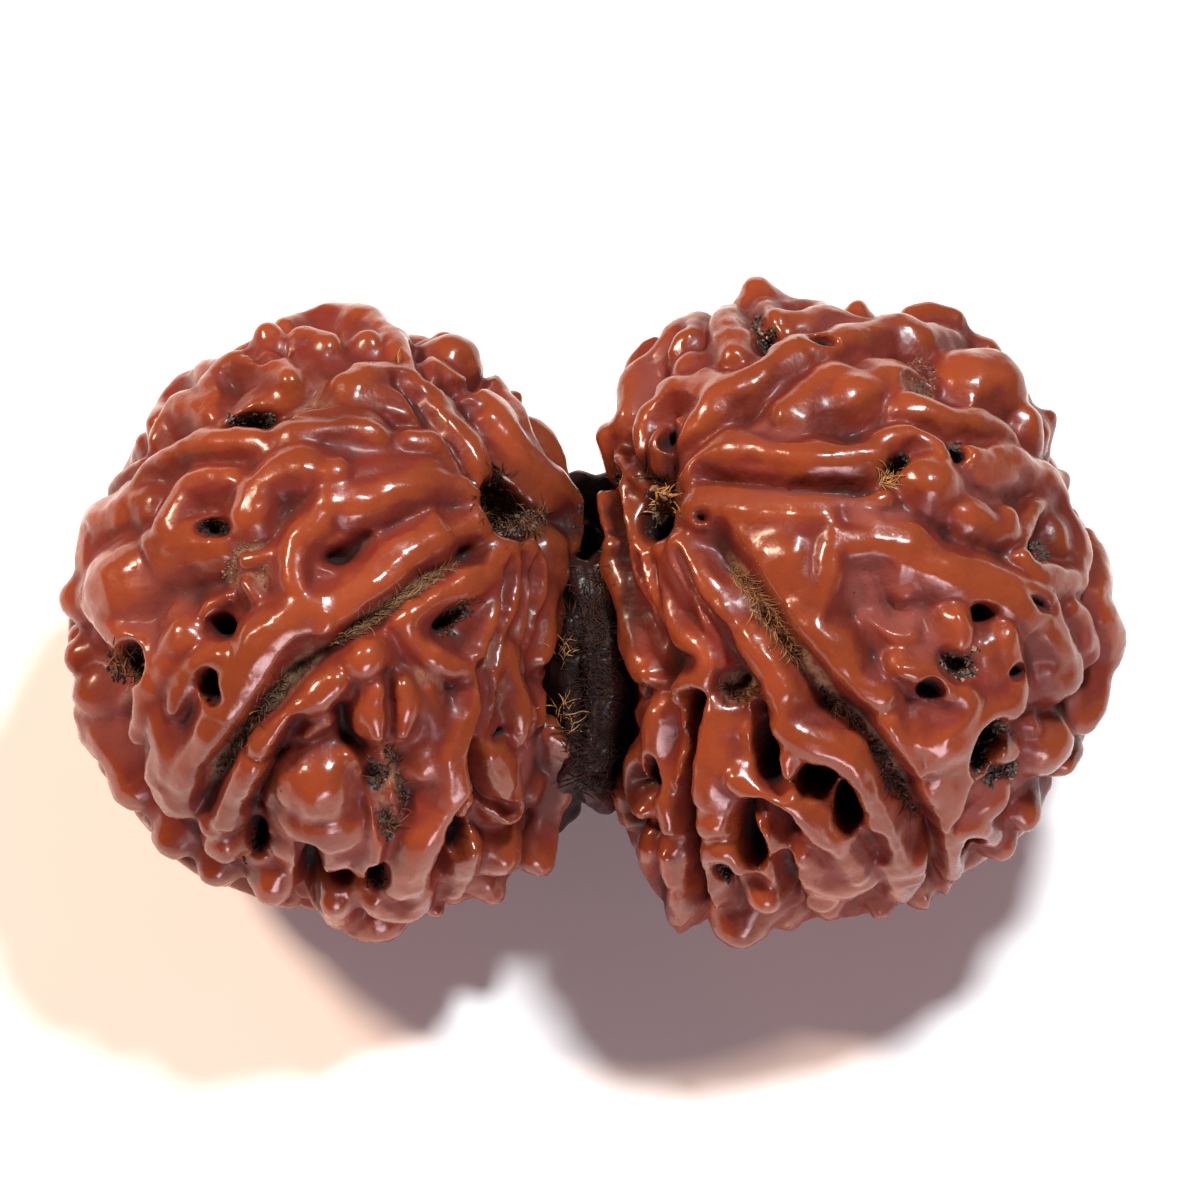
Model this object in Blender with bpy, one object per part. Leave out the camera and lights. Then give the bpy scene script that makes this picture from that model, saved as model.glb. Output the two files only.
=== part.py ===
"""Gauri shankar rudraksha: two fruit stones that grew joined side by side, lying on their side.

Both stones are one piece of wood. Swollen ridges run from the stem end of each stone over its
outside to the other end. The ridges that show from one viewpoint are drawn as that view shows
them, in picture units, and the rest follow a rule that keeps their spacing and direction.
"""

import math
import random

import bmesh
import bpy
import numpy as np

MM = 0.001

# Driving sizes
TOTAL_LENGTH = 38.0 * MM
LENGTH_IN_PICTURE = 1055
PIXEL = TOTAL_LENGTH / LENGTH_IN_PICTURE
PICTURE_CENTRE = (592.5, 620.4)
VIEW_ELEVATION = 65.0
RIDGE_RISE = 1.15 * MM
DRAWN_WIDER = 1.42
PITS_DEEPER = 1.4

# Ridges on the side that the viewpoint doesn't show
HIDDEN_PITCH = 1.75 * MM
HIDDEN_WIDTHS = (1.05 * MM, 1.75 * MM)
HIDDEN_LENGTHS = (3.0 * MM, 9.0 * MM)
HIDDEN_FROM = 0.12
HIDDEN_STARTS = 900
HIDDEN_RISE = (-0.1 * MM, 0.25 * MM)
WAVE_SWING = (0.35, 0.9)
WAVE_LENGTH = (3.0 * MM, 7.0 * MM)
MEETING_SHARE = 0.75
SEAM_MARGIN = 0.8 * MM
SEED = 11

# Low ridges that fill the valleys
FILL_PITCH = 1.0 * MM
FILL_WIDTHS = (0.7 * MM, 1.1 * MM)
FILL_LENGTHS = (1.0 * MM, 3.5 * MM)
FILL_RISE = (-0.75 * MM, -0.45 * MM)
FILL_STARTS = 1800

# Mesh sizes
VOXEL = 0.20 * MM
SOFTEN_ROUNDS = 8
CREASE_FACTOR = 0.5
CREST_FACTOR = 0.12
TRIANGLES = 11500

# The left stone: picture place of its middle and stem end, height of its middle, outline radii in
# the picture every 30 degrees from the right and counter-clockwise, and its half depth.
LEFT_STONE = {
    "middle": (320, 626),
    "stem": (510, 508),
    "height": 10.1 * MM,
    "outline": (9.2, 10.2, 10.9, 11.2, 10.0, 9.0, 9.2, 9.2, 9.9, 10.5, 11.2, 10.6),
    "depth": 10.4 * MM,
}
RIGHT_STONE = {
    "middle": (857, 617),
    "stem": (655, 512),
    "height": 10.2 * MM,
    "outline": (9.35, 8.8, 10.3, 10.9, 12.2, 10.9, 9.5, 10.5, 12.3, 10.7, 9.8, 9.35),
    "depth": 10.5 * MM,
}

# Each ridge: width in picture units, rise of its crest over the common level, points of its crest
LEFT_RIDGES = {
    "crown rim": (30, 0.0, [(285, 325), (310, 316), (340, 312), (370, 322), (390, 345), (400, 365)]),
    "crown arch": (30, 0.1, [(255, 365), (290, 350), (310, 342), (328, 352)]),
    "arch over the upper pit": (28, 0.1, [(218, 402), (215, 385), (240, 372), (270, 372), (290, 385)]),
    "shoulder edge": (25, 0.0, [(155, 420), (165, 395), (190, 375), (235, 368)]),
    "shoulder lobe": (30, 0.0, [(158, 440), (170, 425), (190, 415), (218, 415)]),
    "shoulder bar": (28, 0.1, [(150, 485), (175, 462), (210, 450), (245, 447), (270, 450)]),
    "left edge, upper": (18, -0.1, [(110, 490), (125, 478), (145, 465)]),
    "left edge, lower": (16, -0.1, [(98, 515), (120, 500), (150, 485)]),
    "bright hook": (45, 0.25, [(335, 478), (300, 478), (270, 490), (256, 515)]),
    "arch over the middle pit": (35, 0.1, [(240, 482), (205, 490), (185, 515), (175, 530)]),
    "left shoulder": (60, 0.0, [(165, 512), (130, 530), (105, 555), (105, 575)]),
    "broad lobe": (60, -0.1, [(222, 548), (195, 555), (165, 575), (140, 605)]),
    "broad lobe rim": (30, 0.1, [(105, 580), (100, 600), (115, 620), (140, 645), (155, 670), (152, 700),
                                 (145, 730)]),
    "skirt": (56, -0.3, [(98, 715), (118, 745), (145, 778)]),
    "small arm": (20, 0.0, [(225, 655), (200, 665), (185, 690), (178, 705)]),
    "long lobe": (62, 0.1, [(175, 720), (183, 750), (188, 780)]),
    "main ridge": (42, 0.15, [(475, 520), (440, 540), (400, 562), (370, 588), (340, 610), (300, 618),
                              (270, 640), (250, 675), (230, 710), (205, 750), (188, 780)]),
    "bow": (28, 0.0, [(335, 505), (315, 525), (300, 548), (297, 575), (305, 600)]),
    "upper band": (36, 0.15, [(335, 505), (365, 503), (400, 493), (440, 490), (475, 500)]),
    "ridgelet": (14, -0.5, [(250, 585), (260, 600)]),
    "below the furrow": (34, 0.1, [(500, 550), (480, 575), (450, 590), (420, 605), (405, 618)]),
    "slot arm": (26, 0.0, [(405, 620), (418, 642), (440, 660), (465, 668)]),
    "long finger": (40, 0.15, [(503, 565), (492, 605), (478, 640), (470, 665), (475, 695), (460, 725),
                               (450, 755), (452, 788)]),
    "finger foot": (45, 0.0, [(447, 800), (430, 820), (415, 850), (405, 872)]),
    "bottom loop": (30, 0.0, [(425, 890), (400, 908), (375, 897)]),
    "upper bar of the big lobe": (28, 0.0, [(335, 680), (315, 695), (290, 715), (265, 740)]),
    "twin lobe, left": (22, 0.0, [(378, 688), (376, 710), (380, 732)]),
    "twin lobe, right": (22, 0.0, [(404, 684), (408, 710), (404, 730)]),
    "lower arm": (30, 0.0, [(255, 762), (235, 790), (217, 822)]),
    "narrow bar": (18, -0.1, [(384, 800), (378, 840), (372, 870)]),
    "bottom rim": (30, 0.0, [(335, 900), (350, 925), (380, 935), (410, 920)]),
    "bottom strand": (20, -0.1, [(470, 850), (455, 892)]),
    "right drop": (35, 0.0, [(498, 658), (513, 690), (522, 735)]),
    "right drop, lower": (35, 0.0, [(488, 750), (500, 780), (508, 805)]),
    "junction rim, left": (26, 0.0, [(556, 545), (550, 580), (542, 620), (538, 652)]),
    "junction rib": (28, 0.0, [(522, 545), (532, 565), (525, 600), (515, 640)]),
    "lower rim": (18, -0.1, [(565, 740), (568, 780), (555, 840), (548, 870)]),
    "upper sweep": (45, 0.15, [(355, 395), (385, 388), (420, 410), (450, 440), (468, 470)]),
    "stem sweep": (40, 0.15, [(415, 382), (440, 385), (465, 402), (487, 432), (520, 465), (545, 482),
                              (562, 505), (565, 540)]),
    "outer sweep": (30, 0.0, [(480, 380), (500, 395), (510, 420), (530, 455)]),
    "outer edge": (24, 0.0, [(525, 415), (545, 430), (557, 460), (565, 482)]),
    "cross bar": (30, 0.0, [(410, 448), (438, 453), (460, 468)]),
    "upper cross bar": (35, 0.1, [(292, 445), (330, 436), (372, 441)]),
    "thin bar": (16, -0.2, [(300, 420), (340, 418), (375, 425), (388, 442)]),
    "thin band": (22, -0.1, [(345, 480), (400, 472), (460, 476)]),
    "swell by the tall pit": (46, -0.1, [(165, 700), (172, 670), (190, 640)]),
    "dusty slope": (56, -0.4, [(240, 442), (295, 405), (325, 380)]),
    "swell under the bars": (44, -0.25, [(320, 462), (390, 464), (450, 472)]),
    "swell of the sweep": (60, -0.1, [(355, 412), (395, 418), (440, 448)]),
    "swell by the junction": (46, -0.25, [(540, 550), (534, 600), (526, 650)]),
    "swell below the furrow": (40, -0.3, [(420, 690), (432, 720), (425, 760)]),
}

# Each lobe: picture place, width and height in the picture, turn in degrees, rise of its top
LEFT_LOBES = {
    "big lobe": ((326, 810), (108, 88), 0, 0.15),
    "big lobe, top": ((321, 778), (78, 88), 0, 0.2),
    "big lobe, lower": ((322, 842), (100, 60), 0, -0.2),
    "plateau": ((160, 590), (150, 122), 0, 0.05),
    "crown knob": ((270, 341), (34, 34), 0, 0.75),
    "ear": ((449, 358), (60, 46), 10, 0.75),
    "ear cap": ((446, 343), (34, 26), 0, 1.0),
    "small knob": ((515, 397), (20, 20), 0, 0.5),
    "pyramid": ((367, 657), (46, 44), 0, 0.35),
    "left knob": ((86, 598), (48, 50), 0, 0.2),
    "lower left knob": ((175, 835), (52, 52), 0, 0.1),
    "lower knob": ((275, 885), (42, 40), 0, 0.2),
    "bottom bead": ((435, 908), (20, 18), 0, 0.3),
    "bottom knob": ((493, 893), (24, 24), 0, 0.3),
    "crown patch": ((368, 348), (36, 36), 0, 0.0),
    "left lip": ((80, 657), (30, 34), 0, 0.0),
    "left lip, lower": ((96, 690), (46, 52), 0, -0.1),
    "right block": ((497, 850), (54, 58), 0, 0.0),
    "block under the twin lobes": ((392, 712), (40, 52), 0, -0.3),
    "low knob": ((225, 840), (40, 40), 0, 0.0),
    "low knob, lower": ((218, 868), (40, 38), 0, 0.0),
}

# Each pit: picture place, width and height in the picture, turn in degrees, depth
LEFT_PITS = {
    "upper pit": ((250, 416), (58, 26), 8, 1.2),
    "middle pit": ((213, 525), (46, 24), -10, 1.1),
    "round pit": ((218, 628), (30, 24), 0, 1.3),
    "tall pit": ((212, 688), (26, 46), 10, 1.2),
    "left cavity": ((130, 662), (44, 48), 0, 1.3),
    "slot": ((456, 618), (16, 50), -45, 0.9),
    "low pit": ((255, 848), (22, 46), 0, 1.2),
    "bottom pit": ((380, 882), (26, 46), 0, 1.2),
    "corner pit": ((345, 888), (30, 34), 0, 1.0),
    "narrow pit": ((465, 845), (20, 56), 0, 1.0),
    "hollow": ((352, 548), (30, 66), -60, 0.6),
    "crescent": ((505, 738), (26, 12), 20, 0.7),
    "stem pit": ((512, 506), (84, 72), 0, 1.5),
}

# Each furrow: width in the picture, depth, points along its floor
LEFT_FURROWS = {
    "main furrow": (18, 0.7, [(480, 545), (440, 570), (400, 600), (360, 630), (330, 655), (300, 672),
                              (280, 695), (260, 715), (240, 740), (225, 760), (210, 785), (203, 815)]),
    "upper furrow": (12, 0.6, [(478, 482), (462, 455), (440, 425), (415, 395), (400, 380)]),
    "thin furrow": (8, 0.4, [(515, 560), (500, 620), (495, 660)]),
    "ear groove": (10, 0.7, [(418, 346), (424, 374), (446, 388), (474, 388), (488, 374)]),
    "knob groove": (8, 0.6, [(290, 330), (286, 352), (268, 362), (252, 358)]),
    "twin groove": (8, 0.6, [(393, 676), (394, 742)]),
    "big lobe furrow": (14, 0.8, [(344, 712), (352, 745), (372, 760), (384, 800), (392, 840)]),
    "bar furrow": (12, 0.7, [(300, 726), (282, 752), (262, 790), (250, 822)]),
    "finger furrow": (12, 0.7, [(486, 668), (492, 712), (478, 752), (482, 800)]),
    "rib furrow": (9, 0.8, [(541, 560), (538, 600), (530, 645)]),
    "rib furrow, left": (9, 0.7, [(512, 575), (505, 615), (492, 660)]),
    "drop furrow": (12, 0.9, [(528, 668), (538, 700), (536, 740), (520, 790)]),
    "bottom notch": (16, 1.5, [(311, 852), (311, 880), (310, 908)]),
    "finger gap": (14, 1.2, [(474, 800), (462, 826), (452, 852), (446, 882)]),
    "drop gap": (12, 1.0, [(480, 752), (484, 784), (497, 806), (516, 812)]),
    "dark slot": (14, 0.8, [(543, 735), (547, 765)]),
}

RIGHT_RIDGES = {
    "upper long ridge": (32, 0.2, [(668, 447), (690, 437), (710, 420), (722, 403), (740, 393), (760, 380),
                                   (800, 362), (845, 345), (885, 337), (920, 340), (960, 342), (985, 350)]),
    "crown edge": (20, 0.0, [(780, 306), (808, 304), (825, 312)]),
    "crown cap": (22, 0.1, [(912, 312), (930, 306), (955, 314)]),
    "back web": (28, -0.2, [(775, 322), (800, 328), (822, 322), (850, 322), (880, 330)]),
    "cavity rim": (20, 0.1, [(742, 303), (757, 302), (768, 312), (776, 322)]),
    "crown finger": (34, 0.1, [(728, 318), (728, 335), (736, 360)]),
    "crown fold": (20, 0.0, [(700, 316), (692, 335), (675, 352)]),
    "outer fold": (28, 0.0, [(688, 318), (665, 348), (645, 370), (633, 400), (626, 425), (606, 445)]),
    "outer edge": (18, 0.0, [(652, 336), (634, 352), (628, 378)]),
    "horseshoe, left": (20, 0.1, [(643, 452), (648, 428), (660, 405), (670, 392)]),
    "horseshoe, top": (24, 0.1, [(668, 392), (690, 392), (708, 402)]),
    "horseshoe bridge": (24, -0.1, [(705, 380), (720, 392), (735, 388)]),
    "upper lobe flank": (36, 0.0, [(790, 415), (815, 400), (845, 388), (868, 390)]),
    "long bar": (28, 0.1, [(692, 478), (710, 462), (740, 452), (770, 455), (800, 460), (840, 463),
                           (870, 457)]),
    "small arch": (20, 0.1, [(872, 450), (887, 441), (910, 438), (928, 446), (938, 458)]),
    "pale band": (16, -0.1, [(690, 492), (740, 494), (800, 502), (850, 508), (882, 500)]),
    "pale peak": (20, 0.0, [(850, 515), (872, 527)]),
    "plateau top": (40, 0.15, [(705, 512), (740, 516), (780, 518), (820, 520)]),
    "plateau left edge": (36, 0.15, [(728, 535), (748, 562), (770, 590), (795, 618)]),
    "plateau right edge": (30, 0.15, [(830, 535), (826, 570), (820, 600), (812, 625)]),
    "heavy ridge": (44, 0.25, [(795, 615), (822, 640), (838, 662), (852, 682), (874, 692)]),
    "wide ridge": (44, 0.15, [(845, 545), (880, 545), (910, 556), (950, 575), (990, 592), (1020, 612),
                              (1048, 640), (1055, 672)]),
    "hollow bar": (20, -0.4, [(862, 588), (872, 610), (890, 630), (905, 636)]),
    "upper cross ridge": (30, -0.1, [(900, 414), (930, 420), (965, 430), (1000, 440)]),
    "right fold": (24, 0.0, [(1008, 385), (1030, 402), (1040, 430)]),
    "edge ridge": (30, 0.1, [(965, 460), (1000, 464), (1032, 480), (1055, 508), (1068, 545), (1070, 582)]),
    "ring, bottom": (24, 0.1, [(1018, 560), (1030, 575), (1052, 584), (1070, 582)]),
    "ring, left": (20, 0.0, [(1018, 562), (1018, 535), (1028, 512), (1045, 502)]),
    "crescent lobe": (36, 0.1, [(960, 514), (978, 528), (1000, 532)]),
    "far edge, upper": (22, 0.0, [(1030, 472), (1048, 480), (1060, 484)]),
    "far edge, lower": (26, 0.0, [(1088, 540), (1096, 565), (1092, 595)]),
    "far rim": (34, 0.0, [(1096, 612), (1106, 640), (1102, 680), (1085, 715)]),
    "far lobe": (26, 0.0, [(1066, 612), (1080, 632), (1088, 652)]),
    "block rim": (24, 0.25, [(900, 668), (925, 675), (950, 690), (965, 700), (955, 718), (940, 735)]),
    "pit wall": (30, 0.15, [(1000, 640), (1006, 670), (1005, 695), (985, 706), (966, 728), (960, 758),
                            (948, 790), (938, 820)]),
    "block left edge": (26, 0.1, [(888, 720), (896, 745), (910, 768)]),
    "knob strand": (16, 0.0, [(955, 618), (957, 640)]),
    "junction rib": (30, 0.1, [(617, 548), (624, 580), (631, 615), (638, 645), (645, 668)]),
    "junction bend": (26, 0.1, [(640, 548), (655, 578), (668, 605), (685, 635), (707, 650), (710, 668),
                                (700, 684), (685, 692)]),
    "low rib": (20, -0.3, [(662, 545), (678, 572), (688, 598)]),
    "furrow edge": (36, 0.15, [(685, 548), (705, 580), (726, 608), (748, 638), (768, 660), (782, 685)]),
    "wavy ridge": (36, 0.15, [(780, 682), (776, 705), (788, 728), (812, 740), (840, 748), (862, 772),
                              (880, 800), (900, 832), (907, 868)]),
    "inner finger": (32, 0.0, [(872, 790), (878, 815)]),
    "lobe over the pits": (26, 0.0, [(790, 745), (782, 765), (788, 788)]),
    "pit bridge": (26, 0.0, [(830, 772), (850, 785), (872, 800)]),
    "block": (56, 0.1, [(718, 715), (718, 760), (714, 808)]),
    "web": (26, 0.1, [(735, 778), (760, 792), (790, 803), (812, 820), (838, 845), (856, 868)]),
    "lower apron": (44, -0.1, [(800, 850), (830, 862), (856, 868)]),
    "hanging finger": (22, -0.1, [(762, 828), (772, 850), (780, 882)]),
    "bottom ring, top": (20, 0.1, [(700, 866), (712, 850), (728, 850), (738, 866)]),
    "bottom ring, left": (20, 0.1, [(700, 862), (706, 885), (716, 905)]),
    "left strand": (22, 0.0, [(657, 715), (655, 750), (662, 790), (668, 828)]),
    "left loop": (14, -0.2, [(645, 748), (628, 768), (630, 798), (642, 812)]),
    "thin finger": (14, 0.0, [(666, 856), (672, 888)]),
    "bottom finger": (28, 0.1, [(678, 895), (682, 930)]),
    "left flap": (20, -0.2, [(648, 850), (650, 875), (664, 900)]),
    "right finger": (22, 0.0, [(950, 828), (948, 855), (952, 878)]),
    "right arch": (20, 0.0, [(950, 832), (965, 825), (985, 832), (1000, 845)]),
    "bottom strand": (20, 0.0, [(885, 862), (896, 880), (898, 900)]),
    "stem edge": (14, 0.0, [(601, 495), (604, 518), (610, 538)]),
    "stem strand": (14, -0.1, [(625, 485), (627, 510), (634, 540)]),
    "stem fold": (12, -0.1, [(616, 452), (624, 466), (634, 478)]),
    "plateau swell": (72, 0.15, [(745, 535), (785, 560), (812, 598)]),
    "plateau swell, upper": (44, 0.05, [(725, 525), (780, 530), (828, 532)]),
    "upper lobe swell": (66, -0.05, [(795, 425), (850, 410), (882, 402)]),
    "block swell": (70, 0.05, [(906, 722), (940, 742), (932, 775)]),
    "pit wall swell": (44, -0.05, [(982, 652), (988, 690)]),
    "matte swell": (48, -0.15, [(965, 478), (1000, 476), (1030, 500)]),
    "apron swell": (50, -0.1, [(800, 858), (840, 868)]),
    "hollow floor": (60, -0.75, [(850, 600), (880, 650), (925, 640)]),
    "cross swell": (40, -0.3, [(700, 478), (780, 478), (860, 484)]),
}

RIGHT_LOBES = {
    "crown knob": ((757, 292), (34, 34), 0, 0.5),
    "crown nub": ((858, 312), (24, 26), 0, 0.3),
    "upper lobe": ((838, 408), (100, 62), 20, 0.2),
    "upper right lobe": ((964, 398), (126, 100), 25, 0.1),
    "horseshoe patch": ((693, 372), (44, 40), 0, -0.2),
    "round knob": ((927, 486), (62, 60), 0, 0.45),
    "matte lobe": ((986, 480), (54, 44), 0, -0.35),
    "crescent tip": ((1000, 524), (28, 32), 0, 0.1),
    "right lobe": ((1018, 432), (50, 56), 0, -0.1),
    "ring lobe": ((1044, 546), (58, 78), 0, -0.05),
    "edge knob": ((1047, 422), (22, 30), 0, 0.5),
    "edge spur": ((1058, 482), (28, 26), 0, 0.3),
    "plateau": ((785, 562), (124, 112), 40, 0.3),
    "block body": ((932, 726), (100, 100), 0, 0.2),
    "end lobe": ((1044, 662), (58, 70), 0, 0.0),
    "lower right lobe": ((1036, 742), (72, 76), 0, -0.1),
    "small end lobe": ((1082, 640), (30, 36), 0, 0.2),
    "rough patch": ((980, 803), (56, 34), 20, -0.1),
    "rim lobe": ((1000, 842), (36, 40), 0, 0.0),
    "bottom knob": ((738, 920), (56, 56), 0, 0.35),
    "bottom nub": ((765, 893), (38, 38), 0, 0.3),
    "bottom edge": ((820, 893), (40, 34), 0, 0.0),
    "bottom point": ((880, 908), (26, 26), 0, 0.1),
    "bottom lobe": ((925, 892), (48, 40), 0, 0.0),
    "lower flap": ((1025, 812), (34, 40), 0, -0.1),
    "left bead": ((650, 672), (26, 22), 0, 0.1),
    "stem knob": ((612, 438), (34, 36), 0, 0.1),
}

RIGHT_PITS = {
    "crown cavity": ((763, 335), (26, 40), 0, 1.1),
    "back cavity": ((823, 343), (34, 14), -10, 0.8),
    "side hole": ((665, 432), (16, 40), -15, 1.0),
    "arch pit": ((895, 462), (28, 18), 15, 1.1),
    "upper right pit": ((955, 452), (26, 16), -10, 1.1),
    "ring pit": ((1034, 552), (26, 26), 0, 0.8),
    "below the ring": ((1038, 604), (44, 16), -25, 0.6),
    "round pit": ((983, 612), (30, 18), 0, 1.1),
    "pebbled hollow": ((955, 665), (48, 30), -30, 0.7),
    "block pit": ((928, 689), (28, 20), -20, 1.2),
    "large pit": ((990, 750), (46, 74), -15, 1.5),
    "side pit": ((1016, 672), (18, 16), 0, 0.8),
    "hollow": ((880, 605), (40, 78), 50, 0.4),
    "long cavity": ((763, 762), (24, 72), 15, 1.6),
    "pit under the ridge": ((812, 788), (46, 30), 0, 1.6),
    "pit below": ((844, 822), (28, 40), 0, 1.6),
    "curved pit": ((748, 848), (32, 62), 10, 1.5),
    "arch hollow": ((970, 846), (26, 28), 0, 1.2),
    "ring hollow": ((722, 876), (20, 28), 0, 1.0),
    "loop hollow": ((648, 778), (20, 52), 0, 1.3),
    "stem pit": ((650, 514), (50, 60), 0, 1.3),
    "slot by the stem": ((700, 517), (20, 12), 0, 0.9),
    "dusty hollow": ((918, 382), (38, 44), 30, 0.5),
}

RIGHT_FURROWS = {
    "main furrow": (24, 1.0, [(713, 539), (740, 578), (757, 600), (783, 640), (803, 665), (830, 700),
                              (862, 734), (890, 775), (908, 812), (920, 850)]),
    "below the long bar": (14, 0.6, [(700, 472), (750, 480), (810, 484), (865, 482)]),
    "junction groove": (10, 0.6, [(645, 560), (655, 600), (662, 650)]),
    "left groove": (18, 1.0, [(690, 700), (684, 745), (682, 790), (686, 840), (700, 900)]),
    "dark gap": (20, 0.8, [(722, 690), (750, 694), (760, 712)]),
    "fold groove": (10, 0.6, [(662, 478), (668, 448), (682, 418)]),
    "bottom gap": (14, 1.5, [(684, 850), (688, 886), (702, 930)]),
    "long gap": (14, 1.3, [(680, 700), (682, 735), (681, 775), (676, 815), (680, 850)]),
    "block gap": (14, 1.2, [(752, 716), (757, 742), (764, 768), (779, 792)]),
    "opening": (17, 1.3, [(797, 788), (818, 780), (840, 796), (846, 828)]),
    "arch": (14, 1.1, [(732, 836), (742, 814), (760, 808), (777, 820), (785, 840)]),
    "apron gap": (12, 1.1, [(778, 864), (786, 890), (796, 914)]),
    "side gap": (12, 0.7, [(930, 826), (936, 856), (934, 890)]),
    "rib furrow": (10, 0.9, [(634, 560), (645, 600), (654, 640), (664, 690)]),
    "bend furrow": (10, 0.7, [(676, 556), (694, 592), (716, 628), (728, 662)]),
    "stem furrow": (8, 0.6, [(614, 500), (617, 530), (622, 560)]),
}

# The woody tissue that joins the stones, in the crevice between them
NECK = {
    "middle": (585, 652),
    "height": 8.65 * MM,
    "half_width": 3.4 * MM,
    "half_height": 6.1 * MM,
    "half_depth": 5.3 * MM,
}
NECK_RIDGES = {
    "saddle": (24, 0.1, [(565, 482), (580, 476), (597, 484), (616, 478)]),
    "tissue": (24, -0.1, [(575, 568), (586, 600), (588, 632)]),
    "lower cord": (22, 0.1, [(575, 760), (590, 788), (606, 806)]),
    "lower cord, left": (18, 0.0, [(566, 770), (560, 800), (554, 834)]),
    "inner cord": (16, 0.1, [(603, 560), (606, 620), (608, 700), (602, 760)]),
    "inner cord, left": (14, 0.0, [(571, 620), (569, 680), (574, 745)]),
    "inner cord, middle": (14, 0.15, [(588, 640), (593, 700), (588, 765)]),
}
NECK_PITS = {
    "black slot": ((583, 532), (26, 60), 0, 2.0),
}

# Steps along a ridge and round its rounded ends
STEP = 0.3 * MM
END_STEPS = (0.45, 0.75, 0.93)

# A ridge or lobe has slopes: the same shape again, wider and a little lower each time
SLOPES = ((0.0 * MM, 0.0 * MM), (0.35 * MM, 0.25 * MM), (0.8 * MM, 0.62 * MM))
STEEP_SLOPES = SLOPES[:2]
STEEP_FACING = 0.62

# Along its length a ridge swells and thins in two waves, and it thins at its ends
SWELL = 0.24
SWELL_LENGTHS = (2.3 * MM, 4.1 * MM)
END_THINNING = 0.22
THINNING_LENGTH = 0.9 * MM

# A drawn ridge hangs under its crest along the view, and goes into the body where that turns away
EDGE_FACING = 0.45
FULL_FACING = 0.6
EDGE_SINK = 0.6
MOST_OVERHANG = 1.1

TUBE_ROUNDNESS = 3
CORE_SUBDIVISIONS = 6
LOBE_SUBDIVISIONS = 3
OUTLINE_POINTS = 12
PIT_REACH = 3.0 * MM
WOOD_COLOUR = (0.30, 0.065, 0.022, 1.0)
WOOD_ROUGHNESS = 0.32

ELEVATION = math.radians(VIEW_ELEVATION)
RIGHT = np.array((1.0, 0.0, 0.0))
UP = np.array((0.0, math.sin(ELEVATION), math.cos(ELEVATION)))
TOWARD = np.array((0.0, -math.cos(ELEVATION), math.sin(ELEVATION)))
FRAME = np.array((RIGHT, UP, TOWARD))
MIDDLE_HEIGHT = 10.15 * MM


def clear_scene():
    for thing in list(bpy.data.objects):
        bpy.data.objects.remove(thing, do_unlink=True)


def unit(vectors):
    return vectors / np.maximum(np.linalg.norm(vectors, axis=-1, keepdims=True), 1e-12)


def picture_to_world(place, height):
    """The point at that height over the table that the viewpoint sees at that place."""
    across = (place[0] - PICTURE_CENTRE[0]) * PIXEL
    rise = (PICTURE_CENTRE[1] - place[1]) * PIXEL
    back = (rise - (height - MIDDLE_HEIGHT) * UP[2]) / UP[1]
    return np.array((across, back, height))


class Body:
    """A rounded body: an outline as the viewpoint sees it, and a half depth along the view."""

    def __init__(self, middle, height, outline, depth):
        self.middle = middle
        self.centre = picture_to_world(middle, height)
        self.outline = np.array(outline)
        self.depth = depth

    def outline_radius(self, angle):
        """The outline's radius at an angle, by a closed smooth curve through the given radii."""
        count = len(self.outline)
        position = np.mod(angle / (2 * math.pi) * count, count)
        first = np.floor(position).astype(int)
        t = position - first
        p0, p1, p2, p3 = (self.outline[(first + k) % count] for k in (-1, 0, 1, 2))
        return 0.5 * (2 * p1 + (p2 - p0) * t + (2 * p0 - 5 * p1 + 4 * p2 - p3) * t**2
                      + (3 * p1 - p0 - 3 * p2 + p3) * t**3)

    def reach(self, directions):
        """The body's radius along each direction from its centre."""
        a, b, c = (directions @ FRAME.T).T
        radius = self.outline_radius(np.arctan2(b, a))
        return 1 / np.sqrt((a**2 + b**2) / radius**2 + c**2 / self.depth**2)

    def outward(self, directions):
        """The body's outward normal along each direction."""
        a, b, c = (directions @ FRAME.T).T
        radius = self.outline_radius(np.arctan2(b, a))
        return unit(np.stack((a / radius**2, b / radius**2, c / self.depth**2), axis=-1)) @ FRAME

    def seen(self, place):
        """The point of the surface that the viewpoint sees at that place of the picture."""
        across = (place[0] - self.middle[0]) * PIXEL
        rise = (self.middle[1] - place[1]) * PIXEL
        share = math.hypot(across, rise) / self.outline_radius(np.array(math.atan2(rise, across)))
        near = self.depth * math.sqrt(max(0.0, 1 - share**2))
        return self.centre + across * RIGHT + rise * UP + near * TOWARD


def smooth_path(points):
    """Points every step along a smooth curve through the given ones."""
    points = np.array(points)
    padded = np.vstack((2 * points[0] - points[1], points, 2 * points[-1] - points[-2]))
    path = []
    for p0, p1, p2, p3 in zip(padded, padded[1:], padded[2:], padded[3:]):
        count = max(2, int(np.linalg.norm(p2 - p1) / STEP))
        for t in np.arange(count) / count:
            path.append(0.5 * (2 * p1 + (p2 - p0) * t + (2 * p0 - 5 * p1 + 4 * p2 - p3) * t**2
                               + (3 * p1 - p0 - 3 * p2 + p3) * t**3))
    path.append(points[-1])
    return np.array(path)


def crest_path(body, places):
    """A ridge's crest on the body's surface, smooth, with any overhang past its outline kept."""
    arms = smooth_path([body.seen(place) for place in places]) - body.centre
    directions = unit(arms)
    reach = body.reach(directions)
    excess = np.clip(np.linalg.norm(arms, axis=1) / reach, 1.0, MOST_OVERHANG)
    return body.centre + directions * (reach * excess)[:, None]


def depth_along_view(facing):
    """How far to go back along the view for one unit into the body, less where the body turns away."""
    return np.clip(facing / EDGE_FACING, 0.0, 1.0) / np.maximum(facing, FULL_FACING)


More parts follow.
